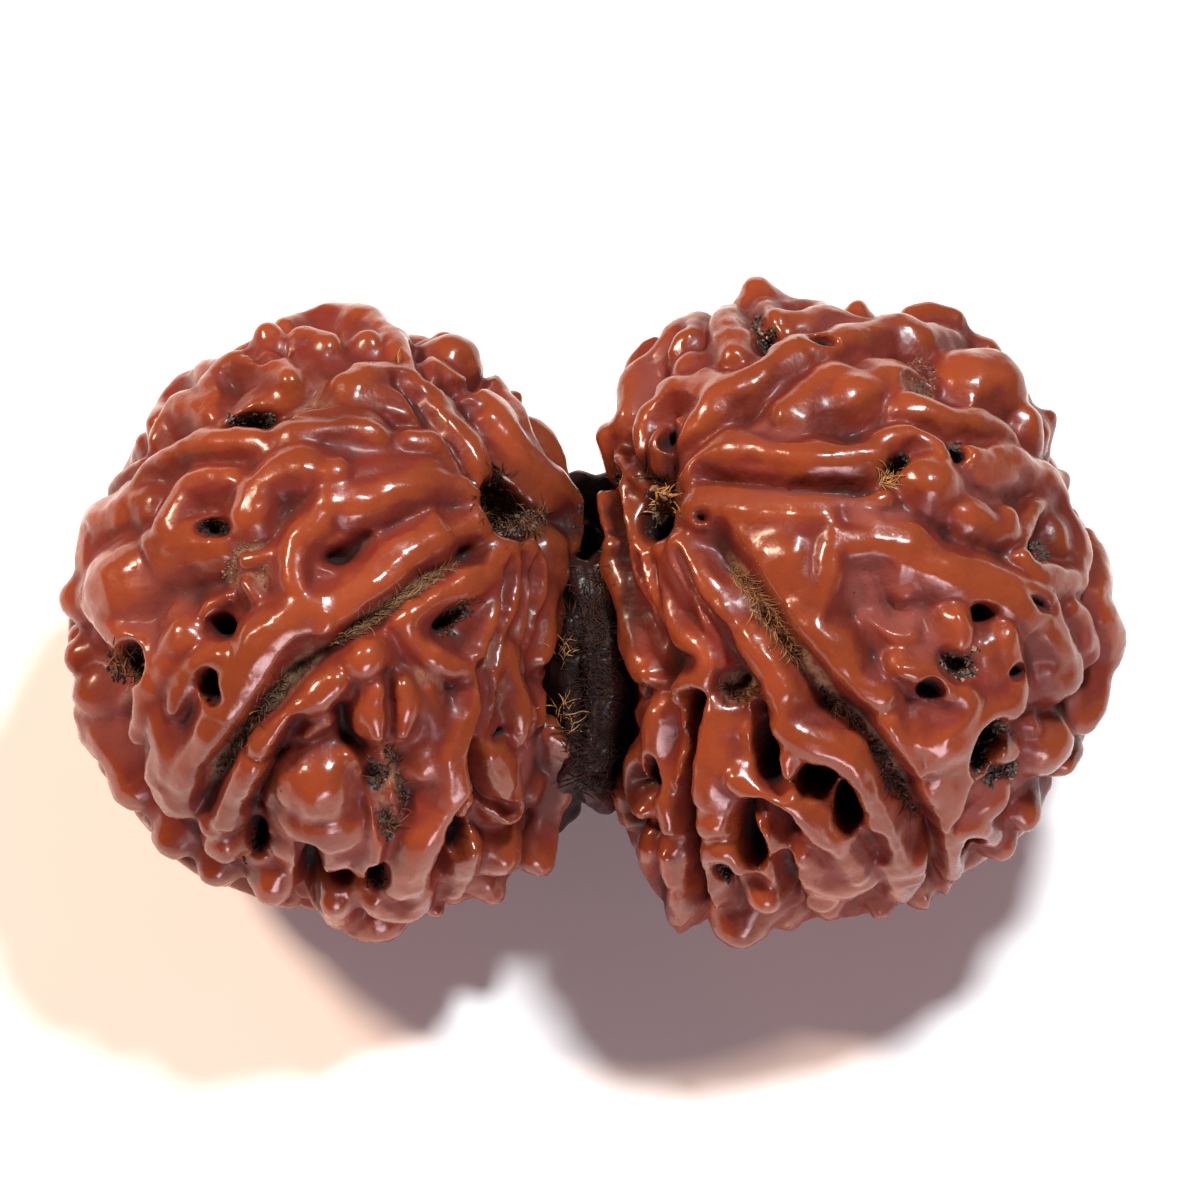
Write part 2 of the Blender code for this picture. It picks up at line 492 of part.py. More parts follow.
def swelling(count, draw):
    """How thick a ridge is at each of its steps, as a share of its width."""
    along = np.arange(count) * STEP
    waves = np.zeros(count)
    for length in SWELL_LENGTHS:
        waves += np.sin(2 * math.pi * along / length + draw.uniform(0, 2 * math.pi))
    from_end = np.minimum(along, along[-1] - along)
    thinning = 1 - END_THINNING * np.exp(-from_end / THINNING_LENGTH)
    return (1 + SWELL * waves / len(SWELL_LENGTHS)) * thinning


class Ridge:
    """A swollen ridge: its crest on the body, the normals there, its half widths and its axis."""

    def __init__(self, body, crest, half_width, rise, draw):
        self.crest = crest
        self.normals = body.outward(unit(crest - body.centre))
        self.half_widths = half_width * swelling(len(crest), draw)
        self.rise = rise
        self.axis = crest - self.normals * (self.half_widths - rise)[:, None]

    def slopes(self):
        """Its slope steps: without the widest where the stone turns from the viewpoint."""
        return SLOPES if (self.normals @ TOWARD).mean() > STEEP_FACING else STEEP_SLOPES

    def hang_along_view(self):
        """Puts the axis right under the crest as the viewpoint sees it."""
        facing = np.clip(self.normals @ TOWARD, 0.0, 1.0)
        inwards = EDGE_SINK * (1 - np.clip(facing / EDGE_FACING, 0.0, 1.0))
        moves = TOWARD * depth_along_view(facing)[:, None] + self.normals * inwards[:, None]
        self.axis = self.crest - moves * (self.half_widths - self.rise)[:, None]


def drawn_ridges(body, ridges, draw):
    found = []
    for width, rise, places in ridges.values():
        half_width = DRAWN_WIDER * width * PIXEL / 2
        ridge = Ridge(body, crest_path(body, places), half_width, rise * MM, draw)
        ridge.hang_along_view()
        found.append(ridge)
    return found


def nearest(point, points):
    return np.sqrt(((points - point) ** 2).sum(axis=1).min())


class Rule:
    """How the ridges that aren't drawn are spread: their spacing, widths, lengths, rise and reach."""

    def __init__(self, starts, pitch, widths, lengths, rises, view_limit):
        self.starts = starts
        self.pitch = pitch
        self.widths = widths
        self.lengths = lengths
        self.rises = rises
        self.view_limit = view_limit

    def refuses(self, body, point, taken, share):
        """Whether a ridge can't run here: in view, at the seam or too near another ridge."""
        if unit(point - body.centre) @ TOWARD > self.view_limit or abs(point[0]) < SEAM_MARGIN:
            return True
        return nearest(point, taken) < share * self.pitch


HIDDEN_RULE = Rule(HIDDEN_STARTS, HIDDEN_PITCH, HIDDEN_WIDTHS, HIDDEN_LENGTHS, HIDDEN_RISE, HIDDEN_FROM)
FILL_RULE = Rule(FILL_STARTS, FILL_PITCH, FILL_WIDTHS, FILL_LENGTHS, FILL_RISE, 1.0)


def on_surface(body, direction):
    return body.centre + direction * body.reach(direction[None])[0]


def grow(body, rule, start, stem, side, taken, limit, wave):
    """A waving path from a start, away from the stem end or back to it, until it meets a ridge."""
    swing, length, phase = wave
    path = []
    point = start
    for k in range(int(limit / STEP)):
        direction = unit(point - body.centre)
        normal = body.outward(direction[None])[0]
        along = side * (direction * (direction @ stem) - stem)
        along = unit(along - normal * (along @ normal))
        across = side * np.cross(normal, along)
        turn = swing * math.sin(2 * math.pi * side * k * STEP / length + phase)
        step = along * math.cos(turn) + across * math.sin(turn)
        point = on_surface(body, unit(point + STEP * step - body.centre))
        if rule.refuses(body, point, taken, MEETING_SHARE):
            break
        path.append(point)
    return path


def even_directions(count, draw):
    """Directions spread evenly over a sphere, in a drawn order."""
    turn = math.pi * (3 - math.sqrt(5))
    directions = []
    for k in range(count):
        height = 1 - 2 * (k + 0.5) / count
        ring = math.sqrt(1 - height**2)
        directions.append((ring * math.cos(turn * k), ring * math.sin(turn * k), height))
    draw.shuffle(directions)
    return np.array(directions)


def ruled_ridges(body, rule, stem, others, draw):
    """Evenly spaced ridges that wave from the stem end to the far end, between the others."""
    taken = np.vstack([ridge.crest for ridge in others])
    ridges = []
    for direction in even_directions(rule.starts, draw):
        start = on_surface(body, direction)
        if rule.refuses(body, start, taken, 1.0):
            continue
        wave = (draw.uniform(*WAVE_SWING), draw.uniform(*WAVE_LENGTH), draw.uniform(0, 2 * math.pi))
        limit = draw.uniform(*rule.lengths) / 2
        back = grow(body, rule, start, stem, -1, taken, limit, wave)
        ahead = grow(body, rule, start, stem, 1, taken, limit, wave)
        crest = np.array(back[::-1] + [start] + ahead)
        half_width = draw.uniform(*rule.widths) / 2
        rise = draw.uniform(*rule.rises)
        taken = np.vstack((taken, crest))
        if len(crest) > 1:
            ridges.append(Ridge(body, crest, half_width, rise, draw))
    return ridges


def tube_stations(axis, half_widths):
    """Centres and radii along a tube round an axis, with rounded ends."""
    first = unit(axis[0] - axis[1]) * half_widths[0]
    last = unit(axis[-1] - axis[-2]) * half_widths[-1]
    centres = list(axis)
    radii = list(half_widths)
    for share in END_STEPS:
        centres.insert(0, axis[0] + first * share)
        centres.append(axis[-1] + last * share)
        radii.insert(0, half_widths[0] * math.sqrt(1 - share**2))
        radii.append(half_widths[-1] * math.sqrt(1 - share**2))
    return centres, radii


def ridge_tubes(name, ridges):
    """All the ridges as one curve object: a tube under each crest, and wider, lower ones as its slopes."""
    curve = bpy.data.curves.new(name, "CURVE")
    curve.dimensions = "3D"
    curve.bevel_depth = 1.0
    curve.bevel_resolution = TUBE_ROUNDNESS
    curve.use_fill_caps = True
    for ridge in ridges:
        for wider, lower in ridge.slopes():
            axis = ridge.axis - ridge.normals * (wider + lower)
            centres, radii = tube_stations(axis, ridge.half_widths + wider)
            spline = curve.splines.new("POLY")
            spline.points.add(len(centres) - 1)
            for point, centre, radius in zip(spline.points, centres, radii):
                point.co = (*centre, 1.0)
                point.radius = radius
    helper = bpy.data.objects.new(name, curve)
    bpy.context.scene.collection.objects.link(helper)
    mesh = evaluated_mesh(helper)
    bpy.data.objects.remove(helper, do_unlink=True)
    return mesh


def evaluated_mesh(thing):
    """The object's mesh with its modifiers applied."""
    graph = bpy.context.evaluated_depsgraph_get()
    return bpy.data.meshes.new_from_object(thing.evaluated_get(graph))


def add_ellipsoid(bm, centre, axes, sizes, subdivisions):
    """A ball stretched along three unit axes to the given half sizes."""
    made = bmesh.ops.create_icosphere(bm, subdivisions=subdivisions, radius=1.0)
    for vert in made["verts"]:
        point = np.array(vert.co)
        vert.co = centre + sum(axis * size * share for axis, size, share in zip(axes, sizes, point))


def add_lobes(bm, body, lobes):
    for place, (width, height), turn, rise in lobes.values():
        point = body.seen(place)
        normal = body.outward(unit(point - body.centre)[None])[0]
        angle = math.radians(turn)
        long_axis = RIGHT * math.cos(angle) + UP * math.sin(angle)
        short_axis = UP * math.cos(angle) - RIGHT * math.sin(angle)
        sizes = (width * PIXEL / 2, height * PIXEL / 2, (width + height) * PIXEL / 4)
        axes = (long_axis, short_axis, TOWARD)
        centre = point - TOWARD * (sizes[2] - rise * MM) * depth_along_view(normal @ TOWARD)
        for wider, lower in SLOPES:
            wide_sizes = [size + wider for size in sizes]
            add_ellipsoid(bm, centre - normal * (wider + lower), axes, wide_sizes, LOBE_SUBDIVISIONS)


def add_core(bm, body):
    """The stone under its ridges: its outline body, less the ridges' rise."""
    made = bmesh.ops.create_icosphere(bm, subdivisions=CORE_SUBDIVISIONS, radius=1.0)
    directions = unit(np.array([vert.co[:] for vert in made["verts"]]))
    points = body.centre + directions * body.reach(directions)[:, None]
    points -= body.outward(directions) * RIDGE_RISE
    for vert, point in zip(made["verts"], points):
        vert.co = point


def pit_depths(points, body, pits):
    """How each point moves where pits sink into the body."""
    moves = np.zeros_like(points)
    for place, (width, height), turn, depth in pits.values():
        mouth = body.seen(place)
        normal = body.outward(unit(mouth - body.centre)[None])[0]
        axis = unit(normal + TOWARD)
        angle = math.radians(turn)
        along = RIGHT * math.cos(angle) + UP * math.sin(angle)
        along = unit(along - axis * (along @ axis))
        across = np.cross(axis, along)
        offsets = points - mouth
        shares = (offsets @ along / (width * PIXEL / 2)) ** 2
        shares += (offsets @ across / (height * PIXEL / 2)) ** 2
        inside = (shares < 1) & (offsets @ axis > -PIT_REACH)
        moves[inside] -= axis * (PITS_DEEPER * depth * MM * (1 - shares[inside] ** 2) ** 1.5)[:, None]
    return moves


def furrow_depths(points, body, furrows):
    """How each point moves where furrows sink into the body."""
    moves = np.zeros_like(points)
    for width, depth, places in furrows.values():
        path = crest_path(body, places)
        best = np.full(len(points), np.inf)
        normals = np.zeros_like(points)
        for station, normal in zip(path, body.outward(unit(path - body.centre))):
            offsets = points - station
            offsets -= (offsets @ normal)[:, None] * normal
            gaps = np.linalg.norm(offsets, axis=1)
            gaps[np.linalg.norm(points - station, axis=1) > PIT_REACH] = np.inf
            closer = gaps < best
            best[closer] = gaps[closer]
            normals[closer] = normal
        inside = best < width * PIXEL
        shares = (best[inside] / (width * PIXEL)) ** 2
        moves[inside] -= normals[inside] * (depth * MM * (1 - shares) ** 2)[:, None]
    return moves


def make_bodies():
    stones = []
    for sizes in (LEFT_STONE, RIGHT_STONE):
        outline = [radius * MM for radius in sizes["outline"]]
        stones.append(Body(sizes["middle"], sizes["height"], outline, sizes["depth"]))
    turns = [2 * math.pi * k / OUTLINE_POINTS for k in range(OUTLINE_POINTS)]
    wide, tall = NECK["half_width"], NECK["half_height"]
    outline = [1 / math.hypot(math.cos(turn) / wide, math.sin(turn) / tall) for turn in turns]
    neck = Body(NECK["middle"], NECK["height"], outline, NECK["half_depth"])
    return stones[0], stones[1], neck


def raw_form(bodies):
    """Cores, ridges and lobes as one mesh of overlapping closed shapes."""
    draw = random.Random(SEED)
    left, right, neck = bodies
    bm = bmesh.new()
    ridges = []
    for body, stone, drawn in ((left, LEFT_STONE, LEFT_RIDGES), (right, RIGHT_STONE, RIGHT_RIDGES)):
        stem = unit(body.seen(stone["stem"]) - body.centre)
        found = drawn_ridges(body, drawn, draw)
        found += ruled_ridges(body, HIDDEN_RULE, stem, found, draw)
        found += ruled_ridges(body, FILL_RULE, stem, found, draw)
        ridges += found
        add_core(bm, body)
    ridges += drawn_ridges(neck, NECK_RIDGES, draw)
    add_core(bm, neck)
    add_lobes(bm, left, LEFT_LOBES)
    add_lobes(bm, right, RIGHT_LOBES)
    bm.from_mesh(ridge_tubes("ridges", ridges))
    mesh = bpy.data.meshes.new("form")
    bm.to_mesh(mesh)
    bm.free()
    return mesh


def sink_hollows(mesh, bodies):
    """Moves the mesh's points where pits and furrows sink into it."""
    left, right, neck = bodies
    points = np.empty(len(mesh.vertices) * 3)
    mesh.vertices.foreach_get("co", points)
    points = points.reshape(-1, 3)
    moves = furrow_depths(points, left, LEFT_FURROWS) + furrow_depths(points, right, RIGHT_FURROWS)
    moves += pit_depths(points, left, LEFT_PITS) + pit_depths(points, right, RIGHT_PITS)
    moves += pit_depths(points, neck, NECK_PITS)
    mesh.vertices.foreach_set("co", (points + moves).ravel())
    mesh.update()


def keep_largest(mesh):
    """Drops the scraps of the mesh that don't hang together with its largest piece."""
    bm = bmesh.new()
    bm.from_mesh(mesh)
    left_over = set(bm.verts)
    pieces = []
    while left_over:
        edge_of_piece = [left_over.pop()]
        piece = set(edge_of_piece)
        while edge_of_piece:
            vert = edge_of_piece.pop()
            for edge in vert.link_edges:
                other = edge.other_vert(vert)
                if other in left_over:
                    left_over.remove(other)
                    piece.add(other)
                    edge_of_piece.append(other)
        pieces.append(piece)
    pieces.sort(key=len)
    for piece in pieces[:-1]:
        bmesh.ops.delete(bm, geom=list(piece), context="VERTS")
    bm.to_mesh(mesh)
    bm.free()


def soften(mesh):
    """Rounds out the mesh's creases, and its crests much less."""
    points = np.empty(len(mesh.vertices) * 3)
    mesh.vertices.foreach_get("co", points)
    points = points.reshape(-1, 3)
    ends = np.empty(len(mesh.edges) * 2, dtype=int)
    mesh.edges.foreach_get("vertices", ends)
    ends = ends.reshape(-1, 2)
    here = np.concatenate((ends[:, 0], ends[:, 1]))
    there = np.concatenate((ends[:, 1], ends[:, 0]))
    counts = np.bincount(here, minlength=len(points))[:, None]
    for _ in range(SOFTEN_ROUNDS):
        sums = [np.bincount(here, weights=points[there, axis], minlength=len(points)) for axis in range(3)]
        pulls = np.stack(sums, axis=1) / counts - points
        mesh.vertices.foreach_set("co", points.ravel())
        mesh.update()
        normals = np.empty(len(points) * 3)
        mesh.vertex_normals.foreach_get("vector", normals)
        creased = (pulls * normals.reshape(-1, 3)).sum(axis=1) > 0
        points = points + pulls * np.where(creased, CREASE_FACTOR, CREST_FACTOR)[:, None]
    mesh.vertices.foreach_set("co", points.ravel())
    mesh.update()


def wood():
    material = bpy.data.materials.new("wood")
    material.use_nodes = True
    shader = material.node_tree.nodes["Principled BSDF"]
    shader.inputs["Base Color"].default_value = WOOD_COLOUR
    shader.inputs["Roughness"].default_value = WOOD_ROUGHNESS
    return material


def table_cutter():
    """A block under the table's height, which cuts the flat spots."""
    side = 2 * TOTAL_LENGTH
    bpy.ops.mesh.primitive_cube_add(size=side, location=(0, 0, -side / 2))
    cutter = bpy.context.object
    cutter.name = "below_the_table"
    cutter.hide_render = True
    cutter.display_type = "WIRE"
    return cutter


def main():
    clear_scene()
    bodies = make_bodies()
    form = bpy.data.objects.new("fused_stones", raw_form(bodies))
    bpy.context.scene.collection.objects.link(form)
    fuse = form.modifiers.new("fuse", "REMESH")
    fuse.mode = "VOXEL"
    fuse.voxel_size = VOXEL
    fuse.adaptivity = 0.0
    mesh = evaluated_mesh(form)
    form.modifiers.remove(fuse)
    keep_largest(mesh)
    sink_hollows(mesh, bodies)
    soften(mesh)
    form.data = mesh
    thin_out = form.modifiers.new("thin out", "DECIMATE")
    thin_out.ratio = TRIANGLES / (2 * len(mesh.polygons))
    mesh = evaluated_mesh(form)
    form.modifiers.remove(thin_out)
    form.data = mesh
    rest = form.modifiers.new("rest", "BOOLEAN")
    rest.operation = "DIFFERENCE"
    rest.object = table_cutter()
    mesh.materials.clear()
    mesh.materials.append(wood())
    mesh.shade_smooth()


main()
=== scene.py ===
# %% [markdown]
# # A gauri shankar rudraksha
# A gauri shankar is two stones of the rudraksha fruit that grew joined side by side. Each stone is
# covered with swollen ridges that run from its stem end over its belly to the other end. Oil and
# handling have made the ridges glossy and orange brown. Their slopes stay maroon and matt, dust lies
# in the valleys, and dried fibres of the fruit sit in the stem pits and in the crevice between the
# stones. The lesson makes the two stones and the tissue between them as fine closed meshes, then
# adds the fibres and crumbs, the finishes, the floor, the lights and the camera.

# %% Load the measured model
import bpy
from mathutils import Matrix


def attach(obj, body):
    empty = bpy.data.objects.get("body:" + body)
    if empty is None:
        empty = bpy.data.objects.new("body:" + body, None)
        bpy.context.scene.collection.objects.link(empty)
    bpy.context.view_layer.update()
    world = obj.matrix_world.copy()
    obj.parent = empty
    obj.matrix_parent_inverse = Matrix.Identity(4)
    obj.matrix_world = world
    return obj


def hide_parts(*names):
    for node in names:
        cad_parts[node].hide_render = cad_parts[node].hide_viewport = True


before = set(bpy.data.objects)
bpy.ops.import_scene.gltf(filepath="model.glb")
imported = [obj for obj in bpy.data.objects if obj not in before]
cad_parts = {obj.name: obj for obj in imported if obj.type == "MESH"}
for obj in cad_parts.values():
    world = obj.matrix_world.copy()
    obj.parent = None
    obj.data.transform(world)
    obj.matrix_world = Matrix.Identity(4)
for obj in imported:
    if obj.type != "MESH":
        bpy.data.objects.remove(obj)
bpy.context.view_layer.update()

# %% Tools and units
import math
import random

import bmesh
import bpy
import numpy as np
from mathutils import Vector, noise
from mathutils.bvhtree import BVHTree

MM = 0.001

# %% [markdown]
# ## The view
# The ridges of the upper side are written as places in one view of the stones, because that is how
# a maker draws them: look, and put the pencil where the crest is. The view looks down at 65
# degrees. One unit of the drawing is a little under 0.04 mm. Three vectors turn the drawing into
# space: to the right, up in the drawing, and toward the viewer.

# %% View and scale
PIXEL = 38.0 * MM / 1055
PICTURE_CENTRE = (592.5, 620.4)
ELEVATION = math.radians(65.0)
RIGHT = np.array((1.0, 0.0, 0.0))
UP = np.array((0.0, math.sin(ELEVATION), math.cos(ELEVATION)))
TOWARD = np.array((0.0, -math.cos(ELEVATION), math.sin(ELEVATION)))
FRAME = np.array((RIGHT, UP, TOWARD))
MIDDLE_HEIGHT = 10.15 * MM
print("one drawing unit is", round(PIXEL / MM, 4), "mm")

# %% [markdown]
# ## Two rounded bodies
# Under the ridges each stone is a rounded body. It is drawn by twelve radii of its outline, every
# 30 degrees from the right and counter-clockwise, and one half depth along the view. A closed
# smooth curve through the radii gives the outline. A ball would be simpler, but the real stones
# are squarer than that.

# %% Stones
LEFT_STONE = {
    "middle": (320, 626),
    "stem": (510, 508),
    "height": 10.1 * MM,
    "outline": (9.2, 10.2, 10.9, 11.2, 10.0, 9.0, 9.2, 9.2, 9.9, 10.5, 11.2, 10.6),
    "depth": 10.4 * MM,
}
RIGHT_STONE = {
    "middle": (857, 617),
    "stem": (655, 512),
    "height": 10.2 * MM,
    "outline": (9.35, 8.8, 10.3, 10.9, 12.2, 10.9, 9.5, 10.5, 12.3, 10.7, 9.8, 9.35),
    "depth": 10.5 * MM,
}

# %% [markdown]
# ## The ridges of the left stone
# Each ridge has a width in drawing units, a rise of its crest over the common level in
# millimetres, and the places that its crest passes.

# %% Left ridges
LEFT_RIDGES = {
    "crown rim": (30, 0.0, [(285, 325), (310, 316), (340, 312), (370, 322), (390, 345), (400, 365)]),
    "crown arch": (30, 0.1, [(255, 365), (290, 350), (310, 342), (328, 352)]),
    "arch over the upper pit": (28, 0.1, [(218, 402), (215, 385), (240, 372), (270, 372), (290, 385)]),
    "shoulder edge": (25, 0.0, [(155, 420), (165, 395), (190, 375), (235, 368)]),
    "shoulder lobe": (30, 0.0, [(158, 440), (170, 425), (190, 415), (218, 415)]),
    "shoulder bar": (28, 0.1, [(150, 485), (175, 462), (210, 450), (245, 447), (270, 450)]),
    "left edge, upper": (18, -0.1, [(110, 490), (125, 478), (145, 465)]),
    "left edge, lower": (16, -0.1, [(98, 515), (120, 500), (150, 485)]),
    "bright hook": (45, 0.25, [(335, 478), (300, 478), (270, 490), (256, 515)]),
    "arch over the middle pit": (35, 0.1, [(240, 482), (205, 490), (185, 515), (175, 530)]),
    "left shoulder": (60, 0.0, [(165, 512), (130, 530), (105, 555), (105, 575)]),
    "broad lobe": (60, -0.1, [(222, 548), (195, 555), (165, 575), (140, 605)]),
    "broad lobe rim": (30, 0.1, [(105, 580), (100, 600), (115, 620), (140, 645), (155, 670), (152, 700),
                                 (145, 730)]),
    "skirt": (56, -0.3, [(98, 715), (118, 745), (145, 778)]),
    "small arm": (20, 0.0, [(225, 655), (200, 665), (185, 690), (178, 705)]),
    "long lobe": (62, 0.1, [(175, 720), (183, 750), (188, 780)]),
    "main ridge": (42, 0.15, [(475, 520), (440, 540), (400, 562), (370, 588), (340, 610), (300, 618),
                              (270, 640), (250, 675), (230, 710), (205, 750), (188, 780)]),
    "bow": (28, 0.0, [(335, 505), (315, 525), (300, 548), (297, 575), (305, 600)]),
    "upper band": (36, 0.15, [(335, 505), (365, 503), (400, 493), (440, 490), (475, 500)]),
    "ridgelet": (14, -0.5, [(250, 585), (260, 600)]),
    "below the furrow": (34, 0.1, [(500, 550), (480, 575), (450, 590), (420, 605), (405, 618)]),
    "slot arm": (26, 0.0, [(405, 620), (418, 642), (440, 660), (465, 668)]),
    "long finger": (40, 0.15, [(503, 565), (492, 605), (478, 640), (470, 665), (475, 695), (460, 725),
                               (450, 755), (452, 788)]),
    "finger foot": (45, 0.0, [(447, 800), (430, 820), (415, 850), (405, 872)]),
    "bottom loop": (30, 0.0, [(425, 890), (400, 908), (375, 897)]),
    "upper bar of the big lobe": (28, 0.0, [(335, 680), (315, 695), (290, 715), (265, 740)]),
    "twin lobe, left": (22, 0.0, [(378, 688), (376, 710), (380, 732)]),
    "twin lobe, right": (22, 0.0, [(404, 684), (408, 710), (404, 730)]),
    "lower arm": (30, 0.0, [(255, 762), (235, 790), (217, 822)]),
    "narrow bar": (18, -0.1, [(384, 800), (378, 840), (372, 870)]),
    "bottom rim": (30, 0.0, [(335, 900), (350, 925), (380, 935), (410, 920)]),
    "bottom strand": (20, -0.1, [(470, 850), (455, 892)]),
    "right drop": (35, 0.0, [(498, 658), (513, 690), (522, 735)]),
    "right drop, lower": (35, 0.0, [(488, 750), (500, 780), (508, 805)]),
    "junction rim, left": (26, 0.0, [(556, 545), (550, 580), (542, 620), (538, 652)]),
    "junction rib": (28, 0.0, [(522, 545), (532, 565), (525, 600), (515, 640)]),
    "lower rim": (18, -0.1, [(565, 740), (568, 780), (555, 840), (548, 870)]),
    "upper sweep": (45, 0.15, [(355, 395), (385, 388), (420, 410), (450, 440), (468, 470)]),
    "stem sweep": (40, 0.15, [(415, 382), (440, 385), (465, 402), (487, 432), (520, 465), (545, 482),
                              (562, 505), (565, 540)]),
    "outer sweep": (30, 0.0, [(480, 380), (500, 395), (510, 420), (530, 455)]),
    "outer edge": (24, 0.0, [(525, 415), (545, 430), (557, 460), (565, 482)]),
    "cross bar": (30, 0.0, [(410, 448), (438, 453), (460, 468)]),
    "upper cross bar": (35, 0.1, [(292, 445), (330, 436), (372, 441)]),
    "thin bar": (16, -0.2, [(300, 420), (340, 418), (375, 425), (388, 442)]),
    "thin band": (22, -0.1, [(345, 480), (400, 472), (460, 476)]),
    "swell by the tall pit": (46, -0.1, [(165, 700), (172, 670), (190, 640)]),
    "dusty slope": (56, -0.4, [(240, 442), (295, 405), (325, 380)]),
    "swell under the bars": (44, -0.25, [(320, 462), (390, 464), (450, 472)]),
    "swell of the sweep": (60, -0.1, [(355, 412), (395, 418), (440, 448)]),
    "swell by the junction": (46, -0.25, [(540, 550), (534, 600), (526, 650)]),
    "swell below the furrow": (40, -0.3, [(420, 690), (432, 720), (425, 760)]),
}

# %% [markdown]
# ## Lobes, pits and furrows of the left stone
# A lobe is a round swelling, with a place, a width and height, a turn in degrees and a rise. A
# pit has the same and a depth. A furrow has a width, a depth and the places along its floor.

# %% Left lobes, pits and furrows
LEFT_LOBES = {
    "big lobe": ((326, 810), (108, 88), 0, 0.15),
    "big lobe, top": ((321, 778), (78, 88), 0, 0.2),
    "big lobe, lower": ((322, 842), (100, 60), 0, -0.2),
    "plateau": ((160, 590), (150, 122), 0, 0.05),
    "crown knob": ((270, 341), (34, 34), 0, 0.75),
    "ear": ((449, 358), (60, 46), 10, 0.75),
    "ear cap": ((446, 343), (34, 26), 0, 1.0),
    "small knob": ((515, 397), (20, 20), 0, 0.5),
    "pyramid": ((367, 657), (46, 44), 0, 0.35),
    "left knob": ((86, 598), (48, 50), 0, 0.2),
    "lower left knob": ((175, 835), (52, 52), 0, 0.1),
    "lower knob": ((275, 885), (42, 40), 0, 0.2),
    "bottom bead": ((435, 908), (20, 18), 0, 0.3),
    "bottom knob": ((493, 893), (24, 24), 0, 0.3),
    "crown patch": ((368, 348), (36, 36), 0, 0.0),
    "left lip": ((80, 657), (30, 34), 0, 0.0),
    "left lip, lower": ((96, 690), (46, 52), 0, -0.1),
    "right block": ((497, 850), (54, 58), 0, 0.0),
    "block under the twin lobes": ((392, 712), (40, 52), 0, -0.3),
    "low knob": ((225, 840), (40, 40), 0, 0.0),
    "low knob, lower": ((218, 868), (40, 38), 0, 0.0),
}

LEFT_PITS = {
    "upper pit": ((250, 416), (58, 26), 8, 1.2),
    "middle pit": ((213, 525), (46, 24), -10, 1.1),
    "round pit": ((218, 628), (30, 24), 0, 1.3),
    "tall pit": ((212, 688), (26, 46), 10, 1.2),
    "left cavity": ((130, 662), (44, 48), 0, 1.3),
    "slot": ((456, 618), (16, 50), -45, 0.9),
    "low pit": ((255, 848), (22, 46), 0, 1.2),
    "bottom pit": ((380, 882), (26, 46), 0, 1.2),
    "corner pit": ((345, 888), (30, 34), 0, 1.0),
    "narrow pit": ((465, 845), (20, 56), 0, 1.0),
    "hollow": ((352, 548), (30, 66), -60, 0.6),
    "crescent": ((505, 738), (26, 12), 20, 0.7),
    "stem pit": ((512, 506), (84, 72), 0, 1.5),
}

LEFT_FURROWS = {
    "main furrow": (18, 0.7, [(480, 545), (440, 570), (400, 600), (360, 630), (330, 655), (300, 672),
                              (280, 695), (260, 715), (240, 740), (225, 760), (210, 785), (203, 815)]),
    "upper furrow": (12, 0.6, [(478, 482), (462, 455), (440, 425), (415, 395), (400, 380)]),
    "thin furrow": (8, 0.4, [(515, 560), (500, 620), (495, 660)]),
    "ear groove": (10, 0.7, [(418, 346), (424, 374), (446, 388), (474, 388), (488, 374)]),
    "knob groove": (8, 0.6, [(290, 330), (286, 352), (268, 362), (252, 358)]),
    "twin groove": (8, 0.6, [(393, 676), (394, 742)]),
    "big lobe furrow": (14, 0.8, [(344, 712), (352, 745), (372, 760), (384, 800), (392, 840)]),
    "bar furrow": (12, 0.7, [(300, 726), (282, 752), (262, 790), (250, 822)]),
    "finger furrow": (12, 0.7, [(486, 668), (492, 712), (478, 752), (482, 800)]),
    "rib furrow": (9, 0.8, [(541, 560), (538, 600), (530, 645)]),
    "rib furrow, left": (9, 0.7, [(512, 575), (505, 615), (492, 660)]),
    "drop furrow": (12, 0.9, [(528, 668), (538, 700), (536, 740), (520, 790)]),
    "bottom notch": (16, 1.5, [(311, 852), (311, 880), (310, 908)]),
    "finger gap": (14, 1.2, [(474, 800), (462, 826), (452, 852), (446, 882)]),
    "drop gap": (12, 1.0, [(480, 752), (484, 784), (497, 806), (516, 812)]),
    "dark slot": (14, 0.8, [(543, 735), (547, 765)]),
}

